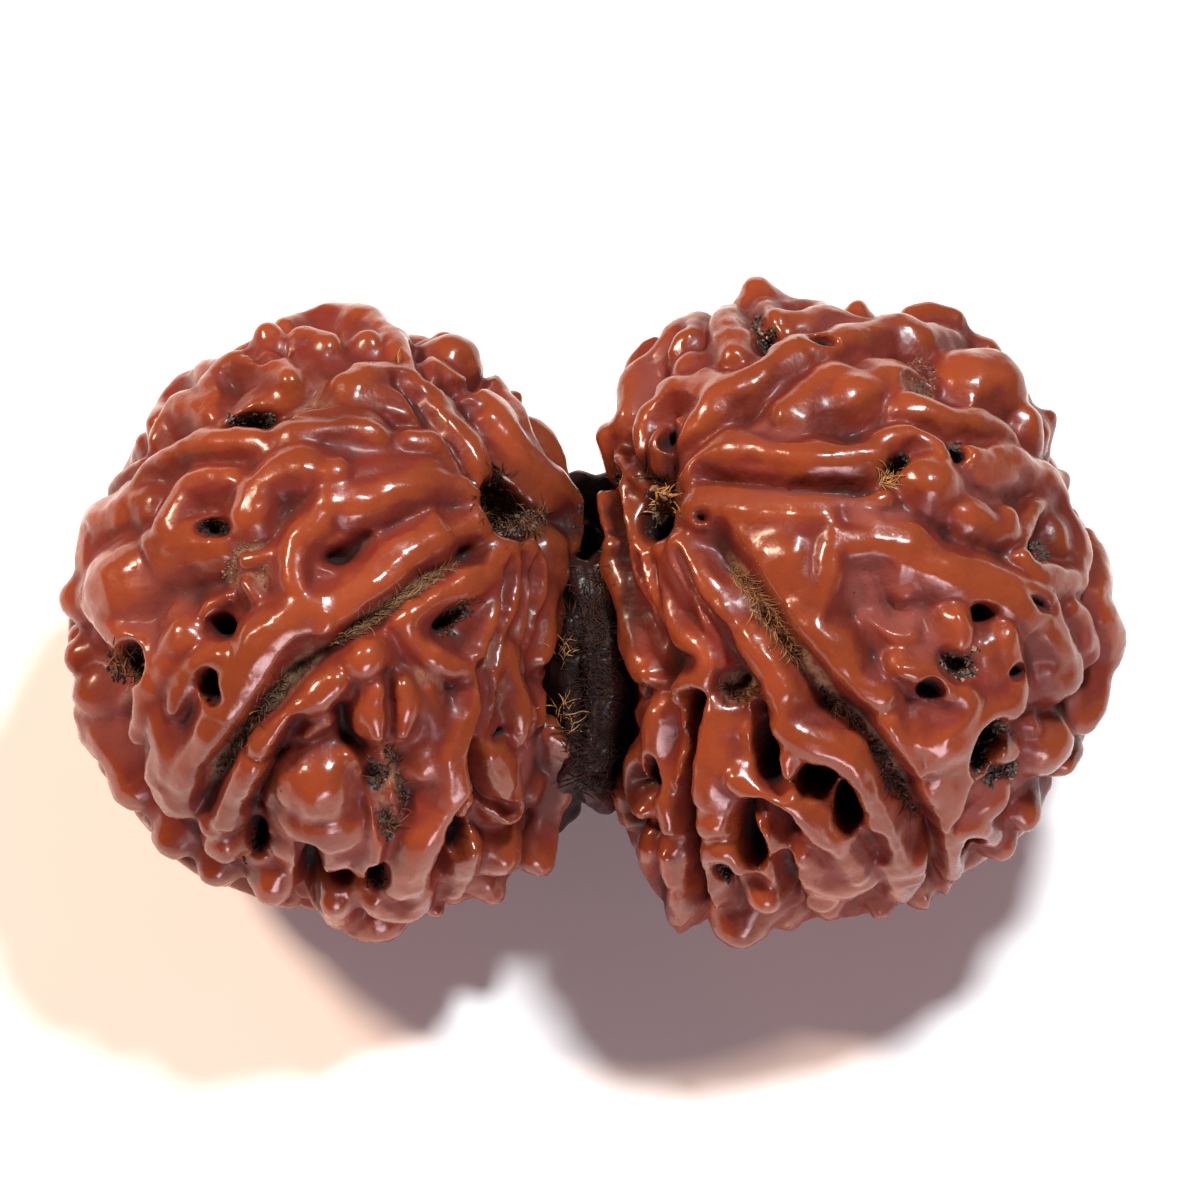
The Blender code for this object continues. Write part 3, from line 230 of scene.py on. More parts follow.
# %% Right ridges
RIGHT_RIDGES = {
    "upper long ridge": (32, 0.2, [(668, 447), (690, 437), (710, 420), (722, 403), (740, 393), (760, 380),
                                   (800, 362), (845, 345), (885, 337), (920, 340), (960, 342), (985, 350)]),
    "crown edge": (20, 0.0, [(780, 306), (808, 304), (825, 312)]),
    "crown cap": (22, 0.1, [(912, 312), (930, 306), (955, 314)]),
    "back web": (28, -0.2, [(775, 322), (800, 328), (822, 322), (850, 322), (880, 330)]),
    "cavity rim": (20, 0.1, [(742, 303), (757, 302), (768, 312), (776, 322)]),
    "crown finger": (34, 0.1, [(728, 318), (728, 335), (736, 360)]),
    "crown fold": (20, 0.0, [(700, 316), (692, 335), (675, 352)]),
    "outer fold": (28, 0.0, [(688, 318), (665, 348), (645, 370), (633, 400), (626, 425), (606, 445)]),
    "outer edge": (18, 0.0, [(652, 336), (634, 352), (628, 378)]),
    "horseshoe, left": (20, 0.1, [(643, 452), (648, 428), (660, 405), (670, 392)]),
    "horseshoe, top": (24, 0.1, [(668, 392), (690, 392), (708, 402)]),
    "horseshoe bridge": (24, -0.1, [(705, 380), (720, 392), (735, 388)]),
    "upper lobe flank": (36, 0.0, [(790, 415), (815, 400), (845, 388), (868, 390)]),
    "long bar": (28, 0.1, [(692, 478), (710, 462), (740, 452), (770, 455), (800, 460), (840, 463),
                           (870, 457)]),
    "small arch": (20, 0.1, [(872, 450), (887, 441), (910, 438), (928, 446), (938, 458)]),
    "pale band": (16, -0.1, [(690, 492), (740, 494), (800, 502), (850, 508), (882, 500)]),
    "pale peak": (20, 0.0, [(850, 515), (872, 527)]),
    "plateau top": (40, 0.15, [(705, 512), (740, 516), (780, 518), (820, 520)]),
    "plateau left edge": (36, 0.15, [(728, 535), (748, 562), (770, 590), (795, 618)]),
    "plateau right edge": (30, 0.15, [(830, 535), (826, 570), (820, 600), (812, 625)]),
    "heavy ridge": (44, 0.25, [(795, 615), (822, 640), (838, 662), (852, 682), (874, 692)]),
    "wide ridge": (44, 0.15, [(845, 545), (880, 545), (910, 556), (950, 575), (990, 592), (1020, 612),
                              (1048, 640), (1055, 672)]),
    "hollow bar": (20, -0.4, [(862, 588), (872, 610), (890, 630), (905, 636)]),
    "upper cross ridge": (30, -0.1, [(900, 414), (930, 420), (965, 430), (1000, 440)]),
    "right fold": (24, 0.0, [(1008, 385), (1030, 402), (1040, 430)]),
    "edge ridge": (30, 0.1, [(965, 460), (1000, 464), (1032, 480), (1055, 508), (1068, 545), (1070, 582)]),
    "ring, bottom": (24, 0.1, [(1018, 560), (1030, 575), (1052, 584), (1070, 582)]),
    "ring, left": (20, 0.0, [(1018, 562), (1018, 535), (1028, 512), (1045, 502)]),
    "crescent lobe": (36, 0.1, [(960, 514), (978, 528), (1000, 532)]),
    "far edge, upper": (22, 0.0, [(1030, 472), (1048, 480), (1060, 484)]),
    "far edge, lower": (26, 0.0, [(1088, 540), (1096, 565), (1092, 595)]),
    "far rim": (34, 0.0, [(1096, 612), (1106, 640), (1102, 680), (1085, 715)]),
    "far lobe": (26, 0.0, [(1066, 612), (1080, 632), (1088, 652)]),
    "block rim": (24, 0.25, [(900, 668), (925, 675), (950, 690), (965, 700), (955, 718), (940, 735)]),
    "pit wall": (30, 0.15, [(1000, 640), (1006, 670), (1005, 695), (985, 706), (966, 728), (960, 758),
                            (948, 790), (938, 820)]),
    "block left edge": (26, 0.1, [(888, 720), (896, 745), (910, 768)]),
    "knob strand": (16, 0.0, [(955, 618), (957, 640)]),
    "junction rib": (30, 0.1, [(617, 548), (624, 580), (631, 615), (638, 645), (645, 668)]),
    "junction bend": (26, 0.1, [(640, 548), (655, 578), (668, 605), (685, 635), (707, 650), (710, 668),
                                (700, 684), (685, 692)]),
    "low rib": (20, -0.3, [(662, 545), (678, 572), (688, 598)]),
    "furrow edge": (36, 0.15, [(685, 548), (705, 580), (726, 608), (748, 638), (768, 660), (782, 685)]),
    "wavy ridge": (36, 0.15, [(780, 682), (776, 705), (788, 728), (812, 740), (840, 748), (862, 772),
                              (880, 800), (900, 832), (907, 868)]),
    "inner finger": (32, 0.0, [(872, 790), (878, 815)]),
    "lobe over the pits": (26, 0.0, [(790, 745), (782, 765), (788, 788)]),
    "pit bridge": (26, 0.0, [(830, 772), (850, 785), (872, 800)]),
    "block": (56, 0.1, [(718, 715), (718, 760), (714, 808)]),
    "web": (26, 0.1, [(735, 778), (760, 792), (790, 803), (812, 820), (838, 845), (856, 868)]),
    "lower apron": (44, -0.1, [(800, 850), (830, 862), (856, 868)]),
    "hanging finger": (22, -0.1, [(762, 828), (772, 850), (780, 882)]),
    "bottom ring, top": (20, 0.1, [(700, 866), (712, 850), (728, 850), (738, 866)]),
    "bottom ring, left": (20, 0.1, [(700, 862), (706, 885), (716, 905)]),
    "left strand": (22, 0.0, [(657, 715), (655, 750), (662, 790), (668, 828)]),
    "left loop": (14, -0.2, [(645, 748), (628, 768), (630, 798), (642, 812)]),
    "thin finger": (14, 0.0, [(666, 856), (672, 888)]),
    "bottom finger": (28, 0.1, [(678, 895), (682, 930)]),
    "left flap": (20, -0.2, [(648, 850), (650, 875), (664, 900)]),
    "right finger": (22, 0.0, [(950, 828), (948, 855), (952, 878)]),
    "right arch": (20, 0.0, [(950, 832), (965, 825), (985, 832), (1000, 845)]),
    "bottom strand": (20, 0.0, [(885, 862), (896, 880), (898, 900)]),
    "stem edge": (14, 0.0, [(601, 495), (604, 518), (610, 538)]),
    "stem strand": (14, -0.1, [(625, 485), (627, 510), (634, 540)]),
    "stem fold": (12, -0.1, [(616, 452), (624, 466), (634, 478)]),
    "plateau swell": (72, 0.15, [(745, 535), (785, 560), (812, 598)]),
    "plateau swell, upper": (44, 0.05, [(725, 525), (780, 530), (828, 532)]),
    "upper lobe swell": (66, -0.05, [(795, 425), (850, 410), (882, 402)]),
    "block swell": (70, 0.05, [(906, 722), (940, 742), (932, 775)]),
    "pit wall swell": (44, -0.05, [(982, 652), (988, 690)]),
    "matte swell": (48, -0.15, [(965, 478), (1000, 476), (1030, 500)]),
    "apron swell": (50, -0.1, [(800, 858), (840, 868)]),
    "hollow floor": (60, -0.75, [(850, 600), (880, 650), (925, 640)]),
    "cross swell": (40, -0.3, [(700, 478), (780, 478), (860, 484)]),
}

# %% Right lobes, pits and furrows
RIGHT_LOBES = {
    "crown knob": ((757, 292), (34, 34), 0, 0.5),
    "crown nub": ((858, 312), (24, 26), 0, 0.3),
    "upper lobe": ((838, 408), (100, 62), 20, 0.2),
    "upper right lobe": ((964, 398), (126, 100), 25, 0.1),
    "horseshoe patch": ((693, 372), (44, 40), 0, -0.2),
    "round knob": ((927, 486), (62, 60), 0, 0.45),
    "matte lobe": ((986, 480), (54, 44), 0, -0.35),
    "crescent tip": ((1000, 524), (28, 32), 0, 0.1),
    "right lobe": ((1018, 432), (50, 56), 0, -0.1),
    "ring lobe": ((1044, 546), (58, 78), 0, -0.05),
    "edge knob": ((1047, 422), (22, 30), 0, 0.5),
    "edge spur": ((1058, 482), (28, 26), 0, 0.3),
    "plateau": ((785, 562), (124, 112), 40, 0.3),
    "block body": ((932, 726), (100, 100), 0, 0.2),
    "end lobe": ((1044, 662), (58, 70), 0, 0.0),
    "lower right lobe": ((1036, 742), (72, 76), 0, -0.1),
    "small end lobe": ((1082, 640), (30, 36), 0, 0.2),
    "rough patch": ((980, 803), (56, 34), 20, -0.1),
    "rim lobe": ((1000, 842), (36, 40), 0, 0.0),
    "bottom knob": ((738, 920), (56, 56), 0, 0.35),
    "bottom nub": ((765, 893), (38, 38), 0, 0.3),
    "bottom edge": ((820, 893), (40, 34), 0, 0.0),
    "bottom point": ((880, 908), (26, 26), 0, 0.1),
    "bottom lobe": ((925, 892), (48, 40), 0, 0.0),
    "lower flap": ((1025, 812), (34, 40), 0, -0.1),
    "left bead": ((650, 672), (26, 22), 0, 0.1),
    "stem knob": ((612, 438), (34, 36), 0, 0.1),
}

RIGHT_PITS = {
    "crown cavity": ((763, 335), (26, 40), 0, 1.1),
    "back cavity": ((823, 343), (34, 14), -10, 0.8),
    "side hole": ((665, 432), (16, 40), -15, 1.0),
    "arch pit": ((895, 462), (28, 18), 15, 1.1),
    "upper right pit": ((955, 452), (26, 16), -10, 1.1),
    "ring pit": ((1034, 552), (26, 26), 0, 0.8),
    "below the ring": ((1038, 604), (44, 16), -25, 0.6),
    "round pit": ((983, 612), (30, 18), 0, 1.1),
    "pebbled hollow": ((955, 665), (48, 30), -30, 0.7),
    "block pit": ((928, 689), (28, 20), -20, 1.2),
    "large pit": ((990, 750), (46, 74), -15, 1.5),
    "side pit": ((1016, 672), (18, 16), 0, 0.8),
    "hollow": ((880, 605), (40, 78), 50, 0.4),
    "long cavity": ((763, 762), (24, 72), 15, 1.6),
    "pit under the ridge": ((812, 788), (46, 30), 0, 1.6),
    "pit below": ((844, 822), (28, 40), 0, 1.6),
    "curved pit": ((748, 848), (32, 62), 10, 1.5),
    "arch hollow": ((970, 846), (26, 28), 0, 1.2),
    "ring hollow": ((722, 876), (20, 28), 0, 1.0),
    "loop hollow": ((648, 778), (20, 52), 0, 1.3),
    "stem pit": ((650, 514), (50, 60), 0, 1.3),
    "slot by the stem": ((700, 517), (20, 12), 0, 0.9),
    "dusty hollow": ((918, 382), (38, 44), 30, 0.5),
}

RIGHT_FURROWS = {
    "main furrow": (24, 1.0, [(713, 539), (740, 578), (757, 600), (783, 640), (803, 665), (830, 700),
                              (862, 734), (890, 775), (908, 812), (920, 850)]),
    "below the long bar": (14, 0.6, [(700, 472), (750, 480), (810, 484), (865, 482)]),
    "junction groove": (10, 0.6, [(645, 560), (655, 600), (662, 650)]),
    "left groove": (18, 1.0, [(690, 700), (684, 745), (682, 790), (686, 840), (700, 900)]),
    "dark gap": (20, 0.8, [(722, 690), (750, 694), (760, 712)]),
    "fold groove": (10, 0.6, [(662, 478), (668, 448), (682, 418)]),
    "bottom gap": (14, 1.5, [(684, 850), (688, 886), (702, 930)]),
    "long gap": (14, 1.3, [(680, 700), (682, 735), (681, 775), (676, 815), (680, 850)]),
    "block gap": (14, 1.2, [(752, 716), (757, 742), (764, 768), (779, 792)]),
    "opening": (17, 1.3, [(797, 788), (818, 780), (840, 796), (846, 828)]),
    "arch": (14, 1.1, [(732, 836), (742, 814), (760, 808), (777, 820), (785, 840)]),
    "apron gap": (12, 1.1, [(778, 864), (786, 890), (796, 914)]),
    "side gap": (12, 0.7, [(930, 826), (936, 856), (934, 890)]),
    "rib furrow": (10, 0.9, [(634, 560), (645, 600), (654, 640), (664, 690)]),
    "bend furrow": (10, 0.7, [(676, 556), (694, 592), (716, 628), (728, 662)]),
    "stem furrow": (8, 0.6, [(614, 500), (617, 530), (622, 560)]),
}

# %% [markdown]
# ## The tissue between the stones
# Where the stones touch, a strip of dried fruit tissue fills the crevice. It is a third rounded
# body with a few cords on it, and a deep black slot near its upper end.

# %% Neck
NECK = {
    "middle": (585, 652),
    "height": 8.65 * MM,
    "half_width": 3.4 * MM,
    "half_height": 6.1 * MM,
    "half_depth": 5.3 * MM,
}
NECK_RIDGES = {
    "saddle": (24, 0.1, [(565, 482), (580, 476), (597, 484), (616, 478)]),
    "tissue": (24, -0.1, [(575, 568), (586, 600), (588, 632)]),
    "lower cord": (22, 0.1, [(575, 760), (590, 788), (606, 806)]),
    "lower cord, left": (18, 0.0, [(566, 770), (560, 800), (554, 834)]),
    "inner cord": (16, 0.1, [(603, 560), (606, 620), (608, 700), (602, 760)]),
    "inner cord, left": (14, 0.0, [(571, 620), (569, 680), (574, 745)]),
    "inner cord, middle": (14, 0.15, [(588, 640), (593, 700), (588, 765)]),
}
NECK_PITS = {
    "black slot": ((583, 532), (26, 60), 0, 2.0),
}

# %% [markdown]
# ## From the drawing to space
# A body knows its outline and its depth, so for any place of the drawing it can say which point of
# its surface the viewer sees there, and which way is out. A smooth path through a ridge's places
# then lies on the body like a pencil line on a ball.

# %% Body
MOST_OVERHANG = 1.1
STEP = 0.3 * MM


def unit(vectors):
    return vectors / np.maximum(np.linalg.norm(vectors, axis=-1, keepdims=True), 1e-12)


def curve_between(p0, p1, p2, p3, t):
    """A smooth curve from p1 to p2 that heads from p0 and for p3."""
    return 0.5 * (2 * p1 + (p2 - p0) * t + (2 * p0 - 5 * p1 + 4 * p2 - p3) * t**2
                  + (3 * p1 - p0 - 3 * p2 + p3) * t**3)


class Body:
    """A rounded body: an outline as the viewer sees it, and a half depth along the view."""

    def __init__(self, middle, height, outline, depth):
        self.middle = middle
        across = (middle[0] - PICTURE_CENTRE[0]) * PIXEL
        rise = (PICTURE_CENTRE[1] - middle[1]) * PIXEL
        self.centre = np.array((across, (rise - (height - MIDDLE_HEIGHT) * UP[2]) / UP[1], height))
        self.outline = np.array(outline)
        self.depth = depth

    def outline_radius(self, angle):
        count = len(self.outline)
        position = np.mod(angle / (2 * math.pi) * count, count)
        first = np.floor(position).astype(int)
        corners = (self.outline[(first + k) % count] for k in (-1, 0, 1, 2))
        return curve_between(*corners, position - first)

    def reach(self, directions):
        """The body's radius along each direction from its centre."""
        a, b, c = (directions @ FRAME.T).T
        radius = self.outline_radius(np.arctan2(b, a))
        return 1 / np.sqrt((a**2 + b**2) / radius**2 + c**2 / self.depth**2)

    def outward(self, directions):
        """The body's outward normal along each direction."""
        a, b, c = (directions @ FRAME.T).T
        radius = self.outline_radius(np.arctan2(b, a))
        return unit(np.stack((a / radius**2, b / radius**2, c / self.depth**2), axis=-1)) @ FRAME

    def seen(self, place):
        """The point of the surface that the viewer sees at that place of the drawing."""
        across = (place[0] - self.middle[0]) * PIXEL
        rise = (self.middle[1] - place[1]) * PIXEL
        share = math.hypot(across, rise) / self.outline_radius(np.array(math.atan2(rise, across)))
        near = self.depth * math.sqrt(max(0.0, 1 - share**2))
        return self.centre + across * RIGHT + rise * UP + near * TOWARD


def stone_body(stone):
    return Body(stone["middle"], stone["height"], [r * MM for r in stone["outline"]], stone["depth"])


def neck_body():
    turns = [2 * math.pi * k / 12 for k in range(12)]
    outline = [1 / math.hypot(math.cos(t) / NECK["half_width"], math.sin(t) / NECK["half_height"])
               for t in turns]
    return Body(NECK["middle"], NECK["height"], outline, NECK["half_depth"])


LEFT, RIGHT_BODY, NECK_BODY = stone_body(LEFT_STONE), stone_body(RIGHT_STONE), neck_body()
print("stone middles in mm", (LEFT.centre / MM).round(2), (RIGHT_BODY.centre / MM).round(2))

# %% Paths on a body


def smooth_path(points):
    """Points every step along a smooth curve through the given ones."""
    points = np.array(points)
    padded = np.vstack((2 * points[0] - points[1], points, 2 * points[-1] - points[-2]))
    path = []
    for corners in zip(padded, padded[1:], padded[2:], padded[3:]):
        count = max(2, int(np.linalg.norm(corners[2] - corners[1]) / STEP))
        path += [curve_between(*corners, t) for t in np.arange(count) / count]
    path.append(points[-1])
    return np.array(path)


def crest_path(body, places):
    """A crest on the body's surface, smooth, with any overhang past its outline kept."""
    arms = smooth_path([body.seen(place) for place in places]) - body.centre
    directions = unit(arms)
    reach = body.reach(directions)
    excess = np.clip(np.linalg.norm(arms, axis=1) / reach, 1.0, MOST_OVERHANG)
    return body.centre + directions * (reach * excess)[:, None]


# %% [markdown]
# ## Ridges
# A ridge is a tube under its crest. Its axis hangs straight behind the crest as the viewer sees it,
# so the drawing stays true, and near the outline it goes into the body instead. A wider tube a
# little deeper is its foot, which gives the slope that a bare tube on a ball lacks.

# %% Drawn ridges
EDGE_FACING = 0.45
FULL_FACING = 0.6
EDGE_SINK = 0.6
DRAWN_WIDER = 1.42
SLOPES = ((0.0 * MM, 0.0 * MM), (0.35 * MM, 0.25 * MM), (0.8 * MM, 0.62 * MM))
STEEP_FACING = 0.62
SWELL = 0.24
SWELL_LENGTHS = (2.3 * MM, 4.1 * MM)
END_THINNING = 0.22
THINNING_LENGTH = 0.9 * MM


def depth_along_view(facing):
    """How far to go back along the view for one unit into the body."""
    return np.clip(facing / EDGE_FACING, 0.0, 1.0) / np.maximum(facing, FULL_FACING)


def swelling(count, draw):
    """How thick a ridge is at each of its steps, as a share of its width."""
    along = np.arange(count) * STEP
    waves = np.zeros(count)
    for length in SWELL_LENGTHS:
        waves += np.sin(2 * math.pi * along / length + draw.uniform(0, 2 * math.pi))
    from_end = np.minimum(along, along[-1] - along)
    thinning = 1 - END_THINNING * np.exp(-from_end / THINNING_LENGTH)
    return (1 + SWELL * waves / len(SWELL_LENGTHS)) * thinning


class Ridge:
    """A swollen ridge: its crest on the body, the normals there, its half widths and its axis."""

    def __init__(self, body, crest, half_width, rise, draw):
        self.crest = crest
        self.normals = body.outward(unit(crest - body.centre))
        self.half_widths = half_width * swelling(len(crest), draw)
        self.rise = rise
        self.axis = crest - self.normals * (self.half_widths - rise)[:, None]

    def slopes(self):
        """Its slope steps: without the widest where the stone turns from the viewer."""
        return SLOPES if (self.normals @ TOWARD).mean() > STEEP_FACING else SLOPES[:2]

    def hang_along_view(self):
        facing = np.clip(self.normals @ TOWARD, 0.0, 1.0)
        inwards = EDGE_SINK * (1 - np.clip(facing / EDGE_FACING, 0.0, 1.0))
        moves = TOWARD * depth_along_view(facing)[:, None] + self.normals * inwards[:, None]
        self.axis = self.crest - moves * (self.half_widths - self.rise)[:, None]


def drawn_ridges(body, ridges, draw):
    found = []
    for width, rise, places in ridges.values():
        half_width = DRAWN_WIDER * width * PIXEL / 2
        ridge = Ridge(body, crest_path(body, places), half_width, rise * MM, draw)
        ridge.hang_along_view()
        found.append(ridge)
    return found


# %% [markdown]
# ## The side that isn't drawn
# Nobody draws the underside, so a rule grows its ridges. Starts are spread evenly over the body,
# and from each a waving path runs away from the stem end and back to it until it comes near
# another ridge. The same rule with narrow low ridges fills the valleys of the drawn side.

# %% Rules
HIDDEN_FROM = 0.12
WAVE_SWING = (0.35, 0.9)
WAVE_LENGTH = (3.0 * MM, 7.0 * MM)
MEETING_SHARE = 0.75
SEAM_MARGIN = 0.8 * MM
SEED = 11


class Rule:
    """How the ridges that aren't drawn are spread: spacing, widths, lengths, rise and reach."""

    def __init__(self, starts, pitch, widths, lengths, rises, view_limit):
        self.starts = starts
        self.pitch = pitch
        self.widths = widths
        self.lengths = lengths
        self.rises = rises
        self.view_limit = view_limit

    def refuses(self, body, point, taken, share):
        if unit(point - body.centre) @ TOWARD > self.view_limit or abs(point[0]) < SEAM_MARGIN:
            return True
        return np.sqrt(((taken - point) ** 2).sum(axis=1).min()) < share * self.pitch


HIDDEN_RULE = Rule(900, 1.75 * MM, (1.05 * MM, 1.75 * MM), (3.0 * MM, 9.0 * MM),
                   (-0.1 * MM, 0.25 * MM), HIDDEN_FROM)
FILL_RULE = Rule(1800, 1.0 * MM, (0.7 * MM, 1.1 * MM), (1.0 * MM, 3.5 * MM),
                 (-0.75 * MM, -0.45 * MM), 1.0)

# %% Growing a path


def on_surface(body, direction):
    return body.centre + direction * body.reach(direction[None])[0]


def grow(body, rule, start, stem, side, taken, limit, wave):
    """A waving path from a start, away from the stem end or back to it, until it meets a ridge."""
    swing, length, phase = wave
    path = []
    point = start
    for k in range(int(limit / STEP)):
        direction = unit(point - body.centre)
        normal = body.outward(direction[None])[0]
        along = side * (direction * (direction @ stem) - stem)
        along = unit(along - normal * (along @ normal))
        across = side * np.cross(normal, along)
        turn = swing * math.sin(2 * math.pi * side * k * STEP / length + phase)
        step = along * math.cos(turn) + across * math.sin(turn)
        point = on_surface(body, unit(point + STEP * step - body.centre))
        if rule.refuses(body, point, taken, MEETING_SHARE):
            break
        path.append(point)
    return path


def even_directions(count, draw):
    """Directions spread evenly over a sphere, in a drawn order."""
    turn = math.pi * (3 - math.sqrt(5))
    directions = []
    for k in range(count):
        height = 1 - 2 * (k + 0.5) / count
        ring = math.sqrt(1 - height**2)
        directions.append((ring * math.cos(turn * k), ring * math.sin(turn * k), height))
    draw.shuffle(directions)
    return np.array(directions)


def ruled_ridges(body, rule, stem, others, draw):
    taken = np.vstack([ridge.crest for ridge in others])
    ridges = []
    for direction in even_directions(rule.starts, draw):
        start = on_surface(body, direction)
        if rule.refuses(body, start, taken, 1.0):
            continue
        wave = (draw.uniform(*WAVE_SWING), draw.uniform(*WAVE_LENGTH), draw.uniform(0, 2 * math.pi))
        limit = draw.uniform(*rule.lengths) / 2
        back = grow(body, rule, start, stem, -1, taken, limit, wave)
        ahead = grow(body, rule, start, stem, 1, taken, limit, wave)
        crest = np.array(back[::-1] + [start] + ahead)
        half_width = draw.uniform(*rule.widths) / 2
        rise = draw.uniform(*rule.rises)
        taken = np.vstack((taken, crest))
        if len(crest) > 1:
            ridges.append(Ridge(body, crest, half_width, rise, draw))
    return ridges


# %% All the ridges
def stone_ridges(body, stone, drawn, draw):
    stem = unit(body.seen(stone["stem"]) - body.centre)
    ridges = drawn_ridges(body, drawn, draw)
    ridges += ruled_ridges(body, HIDDEN_RULE, stem, ridges, draw)
    ridges += ruled_ridges(body, FILL_RULE, stem, ridges, draw)
    return ridges


RIDGE_DRAW = random.Random(SEED)
LEFT_ALL = stone_ridges(LEFT, LEFT_STONE, LEFT_RIDGES, RIDGE_DRAW)
RIGHT_ALL = stone_ridges(RIGHT_BODY, RIGHT_STONE, RIGHT_RIDGES, RIDGE_DRAW)
NECK_ALL = drawn_ridges(NECK_BODY, NECK_RIDGES, RIDGE_DRAW)
print(len(LEFT_ALL), "ridges on the left stone,", len(RIGHT_ALL), "on the right one")

# %% [markdown]
# ## Tubes, lobes and cores
# Blender's curve objects make the tubes: each crest is a line of points with a radius at each, and
# the bevel turns it round. The lobes and the cores are balls from `create_icosphere`, stretched by
# moving their points. All of them overlap freely, because a voxel remesh will fuse them.

# %% Tubes
END_STEPS = (0.45, 0.75, 0.93)


def tube_stations(axis, half_widths):
    """Centres and radii along a tube round an axis, with rounded ends."""
    first = unit(axis[0] - axis[1]) * half_widths[0]
    last = unit(axis[-1] - axis[-2]) * half_widths[-1]
    centres = list(axis)
    radii = list(half_widths)
    for share in END_STEPS:
        centres.insert(0, axis[0] + first * share)
        centres.append(axis[-1] + last * share)
        radii.insert(0, half_widths[0] * math.sqrt(1 - share**2))
        radii.append(half_widths[-1] * math.sqrt(1 - share**2))
    return centres, radii


def evaluated_mesh(thing):
    """The object's mesh with its modifiers applied."""
    graph = bpy.context.evaluated_depsgraph_get()
    return bpy.data.meshes.new_from_object(thing.evaluated_get(graph))


def link_to_scene(name, data):
    thing = bpy.data.objects.new(name, data)
    bpy.context.scene.collection.objects.link(thing)
    return thing


def tubes_mesh(stations, sides):
    """One mesh of round tubes from lists of centres and radii."""
    curve = bpy.data.curves.new("tubes", "CURVE")
    curve.dimensions = "3D"
    curve.bevel_depth = 1.0
    curve.bevel_resolution = sides
    curve.use_fill_caps = True
    for centres, radii in stations:
        spline = curve.splines.new("POLY")
        spline.points.add(len(centres) - 1)
        for point, centre, radius in zip(spline.points, centres, radii):
            point.co = (*centre, 1.0)
            point.radius = radius
    helper = link_to_scene("tubes", curve)
    mesh = evaluated_mesh(helper)
    bpy.data.objects.remove(helper, do_unlink=True)
    return mesh


def ridge_stations(ridges):
    """Each ridge's own tube, and the wider and lower ones of its slopes."""
    for ridge in ridges:
        for wider, lower in ridge.slopes():
            axis = ridge.axis - ridge.normals * (wider + lower)
            yield tube_stations(axis, ridge.half_widths + wider)


# %% Lobes and cores
RIDGE_RISE = 1.15 * MM
CORE_SUBDIVISIONS = 6
LOBE_SUBDIVISIONS = 3


def add_ellipsoid(bm, centre, axes, sizes):
    """A ball stretched along three unit axes to the given half sizes."""
    made = bmesh.ops.create_icosphere(bm, subdivisions=LOBE_SUBDIVISIONS, radius=1.0)
    for vert in made["verts"]:
        point = np.array(vert.co)
        vert.co = centre + sum(axis * size * share for axis, size, share in zip(axes, sizes, point))


def add_lobes(bm, body, lobes):
    for place, (width, height), turn, rise in lobes.values():
        point = body.seen(place)
        normal = body.outward(unit(point - body.centre)[None])[0]
        angle = math.radians(turn)
        long_axis = RIGHT * math.cos(angle) + UP * math.sin(angle)
        short_axis = UP * math.cos(angle) - RIGHT * math.sin(angle)
        sizes = (width * PIXEL / 2, height * PIXEL / 2, (width + height) * PIXEL / 4)
        axes = (long_axis, short_axis, TOWARD)
        centre = point - TOWARD * (sizes[2] - rise * MM) * depth_along_view(normal @ TOWARD)
        for wider, lower in SLOPES:
            wide_sizes = [size + wider for size in sizes]
            add_ellipsoid(bm, centre - normal * (wider + lower), axes, wide_sizes)


def add_core(bm, body):
    """The stone under its ridges: its outline body, less the ridges' rise."""
    made = bmesh.ops.create_icosphere(bm, subdivisions=CORE_SUBDIVISIONS, radius=1.0)
    directions = unit(np.array([vert.co[:] for vert in made["verts"]]))
    points = body.centre + directions * body.reach(directions)[:, None]
    points -= body.outward(directions) * RIDGE_RISE
    for vert, point in zip(made["verts"], points):
        vert.co = point


# %% [markdown]
# ## Fusing and shaping
# The remesh turns the heap of balls and tubes into one closed skin. Pits and furrows are then sunk
# by moving the skin's points, because a hole cut by a Boolean would have a hard edge, and grown
# wood has none. Last the creases are rounded, and the crests hardly at all.

# %% Fuse
VOXEL = 0.12 * MM


def fused(name, body, ridges, lobes):
    """One closed mesh of a body with its ridges and lobes."""
    bm = bmesh.new()
    add_core(bm, body)
    add_lobes(bm, body, lobes)
    bm.from_mesh(tubes_mesh(ridge_stations(ridges), sides=3))
    heap = bpy.data.meshes.new(name)
    bm.to_mesh(heap)
    bm.free()
    thing = link_to_scene(name, heap)
    fuse = thing.modifiers.new("fuse", "REMESH")
    fuse.mode = "VOXEL"
    fuse.voxel_size = VOXEL
    mesh = evaluated_mesh(thing)
    thing.modifiers.remove(fuse)
    thing.data = mesh
    keep_largest(mesh)
    print(name, "fused:", len(mesh.vertices), "points")
    return thing


def keep_largest(mesh):
    """Drops the scraps that don't hang together with the largest piece."""
    bm = bmesh.new()
    bm.from_mesh(mesh)
    left_over = set(bm.verts)
    pieces = []
    while left_over:
        rim = [left_over.pop()]
        piece = set(rim)
        while rim:
            for edge in rim.pop().link_edges:
                for vert in edge.verts:
                    if vert in left_over:
                        left_over.remove(vert)
                        piece.add(vert)
                        rim.append(vert)
        pieces.append(piece)
    pieces.sort(key=len)
    for piece in pieces[:-1]:
        bmesh.ops.delete(bm, geom=list(piece), context="VERTS")
    bm.to_mesh(mesh)
    bm.free()


# %% Points and normals of a mesh


def get_points(mesh):
    points = np.empty(len(mesh.vertices) * 3)
    mesh.vertices.foreach_get("co", points)
    return points.reshape(-1, 3)


def set_points(mesh, points):
    mesh.vertices.foreach_set("co", points.ravel())
    mesh.update()


